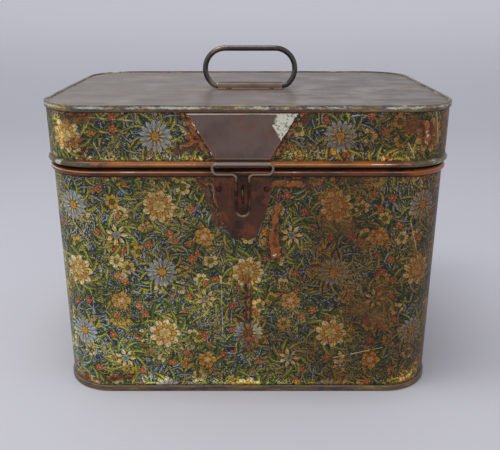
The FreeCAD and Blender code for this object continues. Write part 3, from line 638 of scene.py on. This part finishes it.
def bead_wear(place, z, colours, bead, rise, crest, under, chips, lean):
    """Bead: painted highlight on its rubbed, chipped crest, painted shade below; a lean over nought wears
    its left more.
    """
    low, high = bead
    middle = (low + high) / 2
    # Painted shade: the under colour on the lower half of the bead.
    colours = coat(colours, under, z, middle - 0.6, low + 0.4)
    # Painted highlight: the crest colour lies in this band, rise over the middle, on rubbed varnish; chips
    # lie in it too.
    upper = within(z, middle + rise, middle + rise + 1.4, 0.4)
    leftward = add("VectorMath DOT_PRODUCT", (place, (-lean, 0, 0)))
    for cover, noise, *limits in (
            (crest, (24, 6, 0.65), 0.3, 0.55, 0.85), ("chip", (9, 6, 0.7), 0.76 - chips, 0.78 - chips)):
        patches = frayed(place, leftward, 1, *noise, ALONG)
        colours = coat(colours, cover, add("Math MULTIPLY", (upper, patches)), *limits)
    return colours


def corner_reach(place):
    """|x| + |y| in millimetres, which is greatest at the trunk's round corners, made uneven by noise."""
    spread = add("VectorMath ABSOLUTE", (place,))
    reach = add("VectorMath DOT_PRODUCT", (spread, (1, 1, 0)))
    return frayed(place, reach, 60, 8, 6, 0.7)


def bare_inside(place, colours, inward, low, high):
    """Colours that turn to dull tinplate with brown blooms as normal times inward goes from low to high."""
    turned = add("VectorMath DOT_PRODUCT", (add("TexCoord", out="Normal", tree=place.id_data), inward))
    inside = add("MapRange", (turned, low, high))
    tin = coats(
        place, "bare_tin", ("iron", (40, 6, 0.65), 0.45, 0.75, 0.5),
        ("tin_stain", (9, 7, 0.72), 0.56, 0.7, 0.8))
    return add("Mix", (inside, colours, tin), data_type="RGBA")


def bare_inner_wall(place, colours):
    """Colours of a wall that is bare tin inside: there its normal points to the trunk's middle."""
    inward = add("VectorMath MULTIPLY", (place, (-1, -1, 0)))
    return bare_inside(place, colours, inward, 2, 8)


def body_tin(tree):
    """Tinplate of the body under brown oven-baked varnish: glossy red-brown bead with a painted highlight,
    painted shade under it and on the collar, dull bare tin inside.
    """
    place, x, _, z = object_place(tree)
    low, high = BODY_BEAD
    colours = aged_japan(place, "bead_japan", "dark_japan", "rust", wear=0.1)
    colours = bead_wear(
        place, z, colours, BODY_BEAD, rise=0.7, crest="rose", under="dark_japan", chips=0.1, lean=0.0007)
    rightward = add("Math MULTIPLY_ADD", (x, 0.06, corner_reach(place)))
    colours = coat(colours, "rust", rightward, 328, 344, 0.8)
    # Painted shade on the wall under the bead.
    colours = coat(colours, "deep_japan_and_painted_shade", z, low + 0.5, low - 0.5, 0.9)
    # The collar is near black: where it shows in the gap under the lid, this is painted shade.
    collar = aged_japan(place, "deep_japan_and_painted_shade", "dark_japan", "bare_tin", wear=0.12)
    above = add("MapRange", (z, high + 0.2, high + 0.6))
    colours = add("Mix", (above, colours, collar), data_type="RGBA")
    colours = bare_inner_wall(place, colours)
    return satin(place, colours, roughness=0.2, swing=0.15, grain=3, depth=0.15, gloss=0.35)


def lid_tin(tree):
    """Tinplate of the lid in amber varnish: glossy chipped bead with a painted highlight, painted shade on
    the edge below it, bare tin inside.
    """
    place, _, _, z = object_place(tree)
    low, high = LID_BEAD
    colours = aged_japan(place, "amber", "japan", "rust", wear=0.14)
    colours = bead_wear(
        place, z, colours, LID_BEAD, rise=-0.1, crest="gold", under="japan", chips=0.2, lean=-0.0004)
    corners = corner_reach(place)
    flecks = frayed(place, corners, 110, 5, 6, 0.7, ALONG)
    # Colour, what it follows, the millimetres where it starts and is full, share. The near black on the edge
    # under the bead is painted shade.
    for cover, pattern, *limits in (
            ("seam", corners, 314, 328, 0.8), ("dark_japan", flecks, 370, 380, 0.6),
            ("sap", flecks, 388, 396, 0.65), ("paste", flecks, 404, 414, 0.75),
            ("deep_japan_and_painted_shade", z, low + 0.9, low + 0.1), ("dark_japan", z, high + 30, high + 36, 0.8)):
        colours = coat(colours, cover, pattern, *limits)
    colours = bare_inner_wall(place, colours)
    # Gloss falls almost to nothing on that edge, so the painted shade stays dark.
    gloss = add("MapRange", (z, low + 0.1, low + 0.9, 0.02, 0.4))
    return satin(place, colours, roughness=0.17, swing=0.15, grain=3, depth=0.15, gloss=gloss)


def seam_remains(place, ground, pale):
    """Colour of a folded seam: worn varnish with rubbed remains of the print that was pasted over it."""
    strips = cloud(place, 9, 6, 0.65, (0.3, 0.3, 1.6))
    colours = ground
    for cover, *limits in (
            ("ink", 0.49, 0.43, 0.75), ("sap", 0.52, 0.56, 0.7), ("gold", 0.57, 0.61, 0.6),
            ("japan", 0.61, 0.63, 0.8)):
        colours = coat(colours, cover, strips, *limits)
    return coats(
        place, colours, (pale, (7, 7, 0.7, ALONG), 0.6, 0.66, 0.7),
        ("dark_japan", (30, 5, 0.6, ALONG), 0.5, 0.7, 0.6))


def lid_top_tin(tree):
    """Tinplate of the lid's top: scraps of paper and paste on its seam, its pale crest also a painted
    highlight, red-brown varnish at its foot.
    """
    place, x, _, z = object_place(tree)
    low, high = (corner[2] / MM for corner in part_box("lid_top"))
    colours = seam_remains(place, "seam", "paste")
    # Pale paste scraped along the seam's crest, which also stands as the crest's painted highlight.
    crest = within(frayed(place, z, 5, 5, 5, 0.7), high - 1.4, high + 1.6, 0.6)
    scraped_and_highlit = add("Math MULTIPLY", (crest, cloud(place, 9, 8, 0.75, (0.6, 0.6, 1))))
    colours = coat(colours, "paste", scraped_and_highlit, 0.4, 0.6, 0.75)
    # The red-brown foot runs out between 60 and 100 mm from the middle.
    off_middle = add("MapRange", (add("Math ABSOLUTE", (x,)), 60, 100, 0, 2.5))
    foot = add("Math ADD", (frayed(place, z, -3, 30, 5, 0.6, ALONG), off_middle))
    colours = coat(colours, "japan", foot, low + 0.6, low - 0.2, 0.9)
    colours = bare_inside(place, colours, (0, 0, -1), 0.5, 0.9)
    return satin(place, colours, roughness=0.32, swing=0.3, grain=3, depth=0.3, gloss=0.4)


def bottom_tin(tree):
    """Tinplate of the bottom: grey-brown seam with faint scraps of print, bare tin inside."""
    place = object_place(tree)[0]
    colours = bare_inside(place, seam_remains(place, "foot", "sleeve"), (0, 0, 1), 0.9, 0.95)
    return satin(place, colours, roughness=0.4, swing=0.3, grain=3, depth=0.3, gloss=0.3)


# The hasp plate in millimetres: width at the bottom of its slanted edges, and height of its bend and of its
# roll over its lowest point. Its varnish has flaked off at the upper right corner: slope of each left side
# of the flake and its distance from that corner.
PLATE_LOW_WIDTH = 54
PLATE_BEND = 8
PLATE_ROLL = 6.4
FLAKE_SIDES = ((-0.36, 19.5), (0.55, 29.5))
FLAKE_SHRINK = 4         # what the noise takes off the flake on average
HASP_SHOULDER = 236      # height over the floor where the hasp's wire bends from its legs to its shoulders


def hasp_plate_tin(tree):
    """Hasp plate: satin purple-brown varnish, rusty at its slanted edges, one big flake off it, painted
    shade and highlights at its bend and roll.
    """
    place, _, _, z = object_place(tree)
    low, high = np.array(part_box("hasp_plate")) / MM
    middle = (low[0] + high[0]) / 2
    half_top = (high[0] - low[0]) / 2
    top = high[2]
    bend = low[2] + PLATE_BEND
    roll = low[2] + PLATE_ROLL
    lean = (half_top - PLATE_LOW_WIDTH / 2) / (top - bend)
    tilt = math.hypot(1, lean)
    colours = coats(
        place, "plate_japan", ("dark_japan", (30, 5), 0.45, 0.8, 0.6),
        ("bead_japan", (22, 4), 0.5, 0.7, 0.5), ("sleeve", (1.5, 4, 0.6, (1, 1, 0.06)), 0.58, 0.75, 0.4))
    sides = []
    for side in (-1, 1):
        offset = add("VectorMath SUBTRACT", (place, (middle + side * half_top, 0, top)))
        slant = (-side / tilt, 0, lean / tilt)
        sides.append(add("VectorMath DOT_PRODUCT", (offset, slant)))
    left, right = sides
    nearest = add("Math MINIMUM", (left, right))
    colours = coat(colours, "rust", frayed(place, nearest, -2.4, 7, 6, 0.7), 0.8, -0.4, 0.8)
    colours = coat(colours, "dark_japan", nearest, 0.9, 0.4)
    colours = coat(colours, "chip", frayed(place, left, -9, 6, 5, 0.65), -4.6, -5)
    colours = coat(colours, "chip", frayed(place, z, 2, 26, 5, 0.6), top - 0.1, top + 0.3, 0.75)
    flake = add("Math ADD", (right, FLAKE_SHRINK - 0.6))
    for slope, reach in FLAKE_SIDES:
        line = add("VectorMath DOT_PRODUCT", (place, (1, 0, slope)))
        past = add("Math SUBTRACT", (line, middle + half_top + slope * top - reach - FLAKE_SHRINK))
        flake = add("Math MINIMUM", (flake, past))
    flake = frayed(place, flake, -2 * FLAKE_SHRINK, 5, 6, 0.7)
    bared = add("MapRange", (flake, -0.2, 0.2))
    ground_coat = coats(place, "paste", ("tin_stain", (2.6, 6, 0.7), 0.53, 0.6, 0.85))
    colours = add("Mix", (bared, colours, ground_coat), data_type="RGBA")
    # Painted shade, with grime, on the shelf and roll below the bend.
    colours = coat(colours, "dark_japan", z, bend - 0.6, bend - 1.6, 0.9)
    # Bands on the bend, over the roll and on it: colour, lower and upper edge, softness, limits, share. The
    # pale band on the bend is a painted highlight on a worn crease, the near black one over the roll is
    # painted shade with grime, and the bright one on the roll is a painted highlight.
    for cover, foot, crest, soft, *limits in (
            ("sleeve", bend - 0.4, bend + 0.5, 0.3, 0.3, 0.9, 0.9),
            ("deep_japan_and_painted_shade", roll - 0.2, roll + 0.9, 0.3, 0.3, 0.9, 0.8),
            ("bright_iron", roll - 3.2, roll - 1.2, 0.5, 0.2, 1, 0.6)):
        colours = coat(colours, cover, within(z, foot, crest, soft), *limits)
    return satin(place, colours, roughness=0.24, swing=0.15, grain=2, depth=0.12, raised=bared, gloss=0.45)


def shield_tin(tree):
    """Staple's plate and hinge leaves: dark red-brown varnish with a soft gloss, rusty in patches."""
    place = object_place(tree)[0]
    colours = coats(
        place, "shield_japan", ("deep_japan_and_painted_shade", (20, 5), 0.48, 0.66, 0.7),
        ("bead_japan", (16, 7, 0.68), 0.48, 0.62, 0.8), ("rust", (7, 6, 0.7), 0.6, 0.7, 0.6),
        ("sleeve", (1.5, 4, 0.6, (1, 1, 0.08)), 0.62, 0.78, 0.4))
    return satin(place, colours, roughness=0.34, swing=0.25, grain=2.5, depth=0.2, gloss=0.3)


def saddle_tin(tree):
    """Handle's saddle: varnish rubbed grey-brown on the sleeve, red-brown on its crest and its flanges."""
    place, _, y, z = object_place(tree)
    low, high = np.array(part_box("handle_saddle")) / MM
    half = (high[1] - low[1]) / 2
    top = high[2]
    off = add("Math ABSOLUTE", (add("Math SUBTRACT", (y, low[1] + half)),))
    colours = aged_japan(place, "sleeve", "plate_japan", "japan", wear=0.12)
    colours = coat(colours, "japan", frayed(place, off, 5, 6, 6, 0.7), half + 0.6, half + 1.8)
    crest = frayed(place, z, 1.2, 12, 4, 0.6)
    colours = coat(colours, "dark_japan", crest, top - 0.4, top + 0.1)
    return satin(place, colours, roughness=0.4, swing=0.25, grain=2.5, depth=0.2, gloss=0.4)


def iron_wire(tree, iron, polished, rust):
    """Drawn iron wire, oxidised dark and polished by hands: satin metal, with brown in the pits."""
    place = object_place(tree)[0]
    colours = coats(
        place, iron, (polished, (26, 4, 0.6), 0.47, 0.75, 0.6), (rust, (4, 6, 0.7), 0.56, 0.74, 0.5))
    return satin(place, colours, roughness=0.2, swing=0.15, grain=1.5, depth=0.12, metallic=0.8)


def hasp_wire(tree):
    """Wire of the hasp and staple: rubbed bright and with painted highlights at shoulders and foot, dark
    with old varnish between, which is also painted shade on the legs.
    """
    place, _, _, z = object_place(tree)
    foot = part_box("hasp_loop")[0][2] / MM
    uneven = frayed(place, z, 10, 9, 5, 0.65)
    colours = coats(place, "dark_japan", ("plate_japan", (5, 5, 0.7), 0.45, 0.65))
    # Painted highlights, with rubbing, at the shoulders and at the foot.
    colours = coat(colours, "bright_iron", uneven, HASP_SHOULDER + 1, HASP_SHOULDER + 9, 0.6)
    colours = coat(colours, "bright_iron", uneven, foot + 13, foot + 7, 0.5)
    return satin(place, colours, roughness=0.2, swing=0.15, grain=1.5, depth=0.12, metallic=0.8)


def floor_sheet(tree):
    """Seamless background paper: matt, with painted light that makes it paler from 30 to 380 mm up."""
    # Painted light: paler up the wall.
    colours = coat("floor", "backdrop", object_place(tree)[3], 30, 380)
    return add("BsdfPrincipled", {"Base Color": colours, "Roughness": 0.9})


def grid_object(name, points, places, keep=None):
    """Make an object of quads from a grid of points, with UVs from places and only the faces to keep."""
    rows, columns = points.shape[:2]
    index = np.arange(rows * columns).reshape(rows, columns)
    faces = np.stack((index[:-1, :-1], index[:-1, 1:], index[1:, 1:], index[1:, :-1]), axis=-1)
    faces = faces.reshape(-1, 4) if keep is None else faces[keep]
    used, corners = np.unique(faces, return_inverse=True)
    corners = corners.ravel()
    mesh = bpy.data.meshes.new(name)
    mesh.vertices.add(len(used))
    mesh.vertices.foreach_set("co", points.reshape(-1, 3)[used].ravel())
    mesh.loops.add(corners.size)
    mesh.loops.foreach_set("vertex_index", corners.astype(np.int32))
    mesh.polygons.add(len(faces))
    mesh.polygons.foreach_set("loop_start", np.arange(0, corners.size, 4, dtype=np.int32))
    mesh.polygons.foreach_set("use_smooth", np.ones(len(faces), dtype=bool))
    mesh.update(calc_edges=True)
    layer = mesh.uv_layers.new(name="paper")
    layer.data.foreach_set("uv", places.reshape(-1, 2)[used][corners].ravel())
    mesh.validate()
    piece = bpy.data.objects.new(name, mesh)
    bpy.context.scene.collection.objects.link(piece)
    return piece


def ripples(along, up):
    """Slow waves of a pasted sheet, from -1 to 1, of sines whose lengths don't divide each other.

    0.5 sin(a / 23) sin(u / 17) + 0.3 sin(a / 7.1 + u / 9.7) + 0.2 sin(a / 3.3 - u / 5.1), apart from shifts.
    """
    along = along / MM
    up = up / MM
    return (0.5 * np.sin(along / 23 + 1.3) * np.sin(up / 17 + 0.4) + 0.3 * np.sin(along / 7.1 + up / 9.7)
            + 0.2 * np.sin(along / 3.3 - up / 5.1 + 2))


def half_wall(along, half_length, half_depth, corner):
    """Places and outward directions on half of a round-cornered wall, by distance from its middle.

    The distance runs along the straight front, then round the corner by an angle of distance / corner, then
    straight along the side.
    """
    side = np.sign(along)
    distance = np.abs(along)
    straight = half_length - corner
    angle = np.clip((distance - straight) / corner, 0, math.pi / 2)
    run = np.maximum(distance - straight - corner * math.pi / 2, 0)
    x = side * (np.minimum(distance, straight) + corner * np.sin(angle))
    y = -(half_depth - corner + corner * np.cos(angle)) + run
    return x, y, side * np.sin(angle), -np.cos(angle)


def cell_middles(grid):
    """Values of a grid at the middles of its cells."""
    return (grid[:-1, :-1] + grid[1:, 1:]) / 2


def wall_paper(paper, node, corner, back, covered):
    """Paper skin on half of a wall: the wall's outline carried up from the lower edge, rippling in and out.

    The paper is left out where covered(along, up) says that a plate lies on it.
    """
    low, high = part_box(node)
    half_length = (high[0] - low[0]) / 2
    half_depth = max(-low[1], high[1])
    reach = half_length - corner + corner * math.pi / 2 + half_depth - corner
    columns = round(2 * reach / paper.step)
    rows = round((high[2] - low[2]) / paper.step)
    along, up = np.meshgrid(np.linspace(-reach, reach, columns + 1), np.linspace(low[2], high[2], rows + 1))
    x, y, out_x, out_y = half_wall(along, half_length, half_depth, corner)
    way_round = along + (2 * reach if back else 0)
    swell = paper.ripple * ripples(way_round, up)
    points = np.stack((x + out_x * swell, y + out_y * swell, up), axis=-1)
    if back:
        points *= (-1, -1, 1)
    keep = ~covered(cell_middles(along), cell_middles(up))
    return grid_object(node + "_skin", points, np.stack((way_round, up), axis=-1), keep)


def dress(piece, material):
    """Give an object one material."""
    piece.data.materials.clear()
    piece.data.materials.append(material)


def dress_nodes(names, finish, build, *given):
    """Give CAD nodes a finish of this name."""
    material = finish_material(finish, build, *given)
    for name in names:
        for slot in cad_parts[name].material_slots:
            slot.material = material


def place_skin(paper, piece, node, body, material):
    """Seat a paper skin: thickened inward, it stands for its node, moves with its body, takes its finish."""
    solid = piece.modifiers.new("thickness", "SOLIDIFY")
    solid.thickness = paper.thickness
    solid.offset = -1
    dress(piece, material)
    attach(piece, body)
    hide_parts(node)


def paste_papers(paper, finish, body, corner, marks, covers):
    """Paste one printed paper on front and back: two nodes, each with what tells where plates cover it."""
    front, back = covers
    material = finish_material(finish, printed_paper, front, marks)
    for node, covered in covers.items():
        skin = wall_paper(paper, node, corner, node == back, covered)
        place_skin(paper, skin, node, body, material)


UNDER_PLATE = 1.5 * MM    # how far the paper reaches under a plate
UNDER_ROLL = 9 * MM       # how far it reaches under the hasp plate from below, past its roll
SHIELD_FOOT = 0.4         # share of its width that the staple's plate has at its foot
PLATE_FOOT = 0.42         # the same for the hasp plate


def well_inside(value, low, high):
    """Whether a value lies further in between two edges than the paper reaches under a plate."""
    return (value > low + UNDER_PLATE) & (value < high - UNDER_PLATE)


def under_plate(node, foot_share, from_below, from_above):
    """Tell what lies under a plate whose slanted sides narrow to this share of its width at its foot.

    The last two are how far the paper reaches under it from below and from above.
    """
    low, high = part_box(node)

    def covered(along, up):
        rise = (up - low[2]) / (high[2] - low[2])
        half_width = (high[0] - low[0]) / 2 * (foot_share + (1 - foot_share) * rise) - UNDER_PLATE
        across = np.abs(along - (low[0] + high[0]) / 2) < half_width
        return across & (up > low[2] + from_below) & (up < high[2] - from_above)

    return covered


def under_leaves(*leaves):
    """Tell what lies under hinge leaves on the back wall, where distances along it run to the left."""
    def covered(along, up):
        found = np.zeros(along.shape, dtype=bool)
        for low, high in map(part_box, leaves):
            found |= well_inside(-along, low[0], high[0]) & well_inside(up, low[2], high[2])
        return found

    return covered


class TRUNK_OT_body_papers(bpy.types.Operator):
    """Paste the printed paper round the body"""
    bl_idname = "trunk.body_papers"
    bl_label = "Body papers"

    def execute(self, context):
        paper = context.scene.trunk_paper
        paste_papers(paper, "printed_paper_body", "box", paper.body_corner, BODY_MARKS, {
            "body_paper_front": under_plate("staple_plate", SHIELD_FOOT, UNDER_PLATE, UNDER_PLATE),
            "body_paper_back": under_leaves("hinge_left_body_leaf", "hinge_right_body_leaf"),
        })
        return {"FINISHED"}


class TRUNK_OT_lid_papers(bpy.types.Operator):
    """Paste the printed paper round the lid"""
    bl_idname = "trunk.lid_papers"
    bl_label = "Lid papers"

    def execute(self, context):
        paper = context.scene.trunk_paper
        paste_papers(paper, "printed_paper_lid", "lid", paper.lid_corner, LID_MARKS, {
            "lid_paper_front": under_plate("hasp_plate", PLATE_FOOT, UNDER_ROLL, 0),
            "lid_paper_back": under_leaves("hinge_left_lid_leaf", "hinge_right_lid_leaf"),
        })
        return {"FINISHED"}


class TRUNK_OT_top_paper(bpy.types.Operator):
    """Lay the rubbed paper on the lid's panel"""
    bl_idname = "trunk.top_paper"
    bl_label = "Top paper"

    def execute(self, context):
        """Each row is as wide as the panel's round-cornered outline there, L/2 - r + sqrt(r^2 - d^2)."""
        paper = context.scene.trunk_paper
        low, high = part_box("lid_top_paper")
        corner = paper.top_corner
        half_depth = (high[1] - low[1]) / 2
        rows = round(2 * half_depth / paper.step)
        columns = round((high[0] - low[0]) / paper.step)
        across = np.linspace(-1, 1, columns + 1)
        share, y = np.meshgrid(across, np.linspace(-half_depth, half_depth, rows + 1))
        past = np.maximum(np.abs(y) - (half_depth - corner), 0)
        x = share * (high[0] - corner + np.sqrt(np.maximum(corner ** 2 - past ** 2, 0)))
        z = high[2] + paper.ripple * ripples(x, y)
        low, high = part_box("handle_saddle")
        covered = well_inside(cell_middles(x), low[0], high[0])
        covered &= well_inside(cell_middles(y), low[1], high[1])
        points = np.stack((x, y, z), axis=-1)
        piece = grid_object("lid_top_paper_skin", points, points[..., :2], ~covered)
        material = finish_material("rubbed_paper_top", rubbed_paper)
        place_skin(paper, piece, "lid_top_paper", "lid", material)
        return {"FINISHED"}


class TRUNK_OT_tinplate(bpy.types.Operator):
    """Finish the walls, bottom and lid top"""
    bl_idname = "trunk.tinplate"
    bl_label = "Tinplate"

    def execute(self, context):
        dress_nodes(("body_wall_front", "body_wall_back"), "japanned_tin_body", body_tin)
        dress_nodes(("lid_wall_front", "lid_wall_back"), "japanned_tin_lid", lid_tin)
        dress_nodes(("lid_top",), "japanned_tin_lid_top", lid_top_tin)
        dress_nodes(("body_bottom",), "japanned_tin_bottom", bottom_tin)
        return {"FINISHED"}


class TRUNK_OT_fittings(bpy.types.Operator):
    """Finish the hasp plate, the staple's plate, the hinges and the handle's saddle"""
    bl_idname = "trunk.fittings"
    bl_label = "Fittings"

    def execute(self, context):
        leaves = (
            "hinge_left_body_leaf", "hinge_right_body_leaf", "hinge_left_lid_leaf", "hinge_right_lid_leaf")
        dress_nodes(("hasp_plate",), "japanned_tin_hasp_plate", hasp_plate_tin)
        dress_nodes(("staple_plate", *leaves), "japanned_tin_shield", shield_tin)
        dress_nodes(("handle_saddle",), "japanned_tin_saddle", saddle_tin)
        return {"FINISHED"}


class TRUNK_OT_wirework(bpy.types.Operator):
    """Finish the handle, hasp, staple, hinge pins and rivets"""
    bl_idname = "trunk.wirework"
    bl_label = "Wirework"

    def execute(self, context):
        wires = "carry_handle", "hinge_left_pin", "hinge_right_pin"
        rivets = "staple_plate_rivets", "hinge_body_rivets", "hinge_lid_rivets", "saddle_rivets"
        dress_nodes(wires, "oxidised_iron_wire", iron_wire, "iron", "bright_iron", "japan")
        dress_nodes(rivets, "varnished_iron_rivets", iron_wire, "dark_japan", "japan", "iron")
        dress_nodes(("hasp_loop", "staple"), "rubbed_iron_wire_painted_highlights", hasp_wire)
        return {"FINISHED"}


class TRUNK_OT_stage(bpy.types.Operator):
    """Set up the floor, the light and the camera"""
    bl_idname = "trunk.stage"
    bl_label = "Stage"

    def execute(self, context):
        """The backdrop is a floor that curves up into a wall: straight run, quarter circle, straight run."""
        scene = context.scene
        stage = scene.trunk_stage
        half_width = 4
        front = -3
        bend_start = 1.4
        bend = 1.2
        wall = 2
        distance, x = np.meshgrid(np.linspace(0, 1, 61), np.linspace(-half_width, half_width, 9))
        run = bend_start - front
        travel = distance * (run + bend * math.pi / 2 + wall)
        angle = np.clip((travel - run) / bend, 0, math.pi / 2)
        climb = np.maximum(travel - run - bend * math.pi / 2, 0)
        y = front + np.minimum(travel, run) + bend * np.sin(angle)
        z = bend * (1 - np.cos(angle)) + climb
        points = np.stack((x, y, z), axis=-1)[::-1]
        floor = grid_object("backdrop", points, np.stack((x, travel), axis=-1)[::-1])
        dress(floor, finish_material("background_paper", floor_sheet))
        self.light(scene, stage)
        self.camera(scene, stage)
        return {"FINISHED"}

    def light(self, scene, stage):
        """A wide soft light overhead, a little to the front left, in a pale surround that darkens upward."""
        lamp = bpy.data.lights.new("overhead_softbox", "AREA")
        lamp.shape = "RECTANGLE"
        lamp.size = 1
        lamp.size_y = 0.45
        lamp.energy = stage.key_power
        holder = bpy.data.objects.new("overhead_softbox", lamp)
        holder.location = (-0.35, -0.25, 1.6)
        holder.rotation_euler = (math.radians(-7), math.radians(-10), 0)
        scene.collection.objects.link(holder)
        world = bpy.data.worlds.new("studio_surround")
        world.use_nodes = True
        tree = world.node_tree
        tree.nodes.clear()
        up = add("SeparateXYZ", (add("TexCoord", tree=tree),)).node.outputs[2]
        strength = add("MapRange", (up, 0, 1, stage.horizon_strength, stage.zenith_strength))
        sky = add("Background", ((0.96, 0.97, 1, 1), strength))
        add("OutputWorld", (sky,))
        scene.world = world

    def camera(self, scene, stage):
        """The photograph's viewing angle."""
        lens = bpy.data.cameras.new("camera")
        lens.sensor_fit = "HORIZONTAL"
        lens.sensor_width = 36
        lens.lens = stage.lens
        eye = bpy.data.objects.new("camera", lens)
        eye.location = (stage.eye_x, stage.eye_y, stage.eye_z)
        eye.rotation_euler = (math.pi / 2 - stage.pitch, 0, 0)
        scene.collection.objects.link(eye)
        scene.camera = eye
        scene.view_settings.view_transform = "Standard"


OPERATORS = (
    TRUNK_OT_stage, TRUNK_OT_tinplate, TRUNK_OT_fittings, TRUNK_OT_wirework, TRUNK_OT_body_papers,
    TRUNK_OT_lid_papers, TRUNK_OT_top_paper,
)


class TRUNK_PT_sidebar(bpy.types.Panel):
    """Steps that dress the trunk"""
    bl_idname = "TRUNK_PT_sidebar"
    bl_label = "Tin trunk"
    bl_space_type = "VIEW_3D"
    bl_region_type = "UI"
    bl_category = "Trunk"

    def draw(self, context):
        for operator in OPERATORS:
            self.layout.operator(operator.bl_idname)


SETTINGS = {
    "trunk_paper": TrunkPaperSettings, "trunk_metal": TrunkMetalSettings, "trunk_stage": TrunkStageSettings,
}
CLASSES = tuple(SETTINGS.values()) + OPERATORS + (TRUNK_PT_sidebar,)


def register():
    for entry in CLASSES:
        bpy.utils.register_class(entry)
    for name, group in SETTINGS.items():
        setattr(bpy.types.Scene, name, bpy.props.PointerProperty(type=group))


def unregister():
    for name in SETTINGS:
        delattr(bpy.types.Scene, name)
    for entry in reversed(CLASSES):
        bpy.utils.unregister_class(entry)


def main():
    """Dress the trunk step by step."""
    register()
    bpy.ops.trunk.stage()
    bpy.ops.trunk.tinplate()
    bpy.ops.trunk.fittings()
    bpy.ops.trunk.wirework()
    bpy.ops.trunk.body_papers()
    bpy.ops.trunk.lid_papers()
    bpy.ops.trunk.top_paper()


if __name__ == "__main__":
    main()
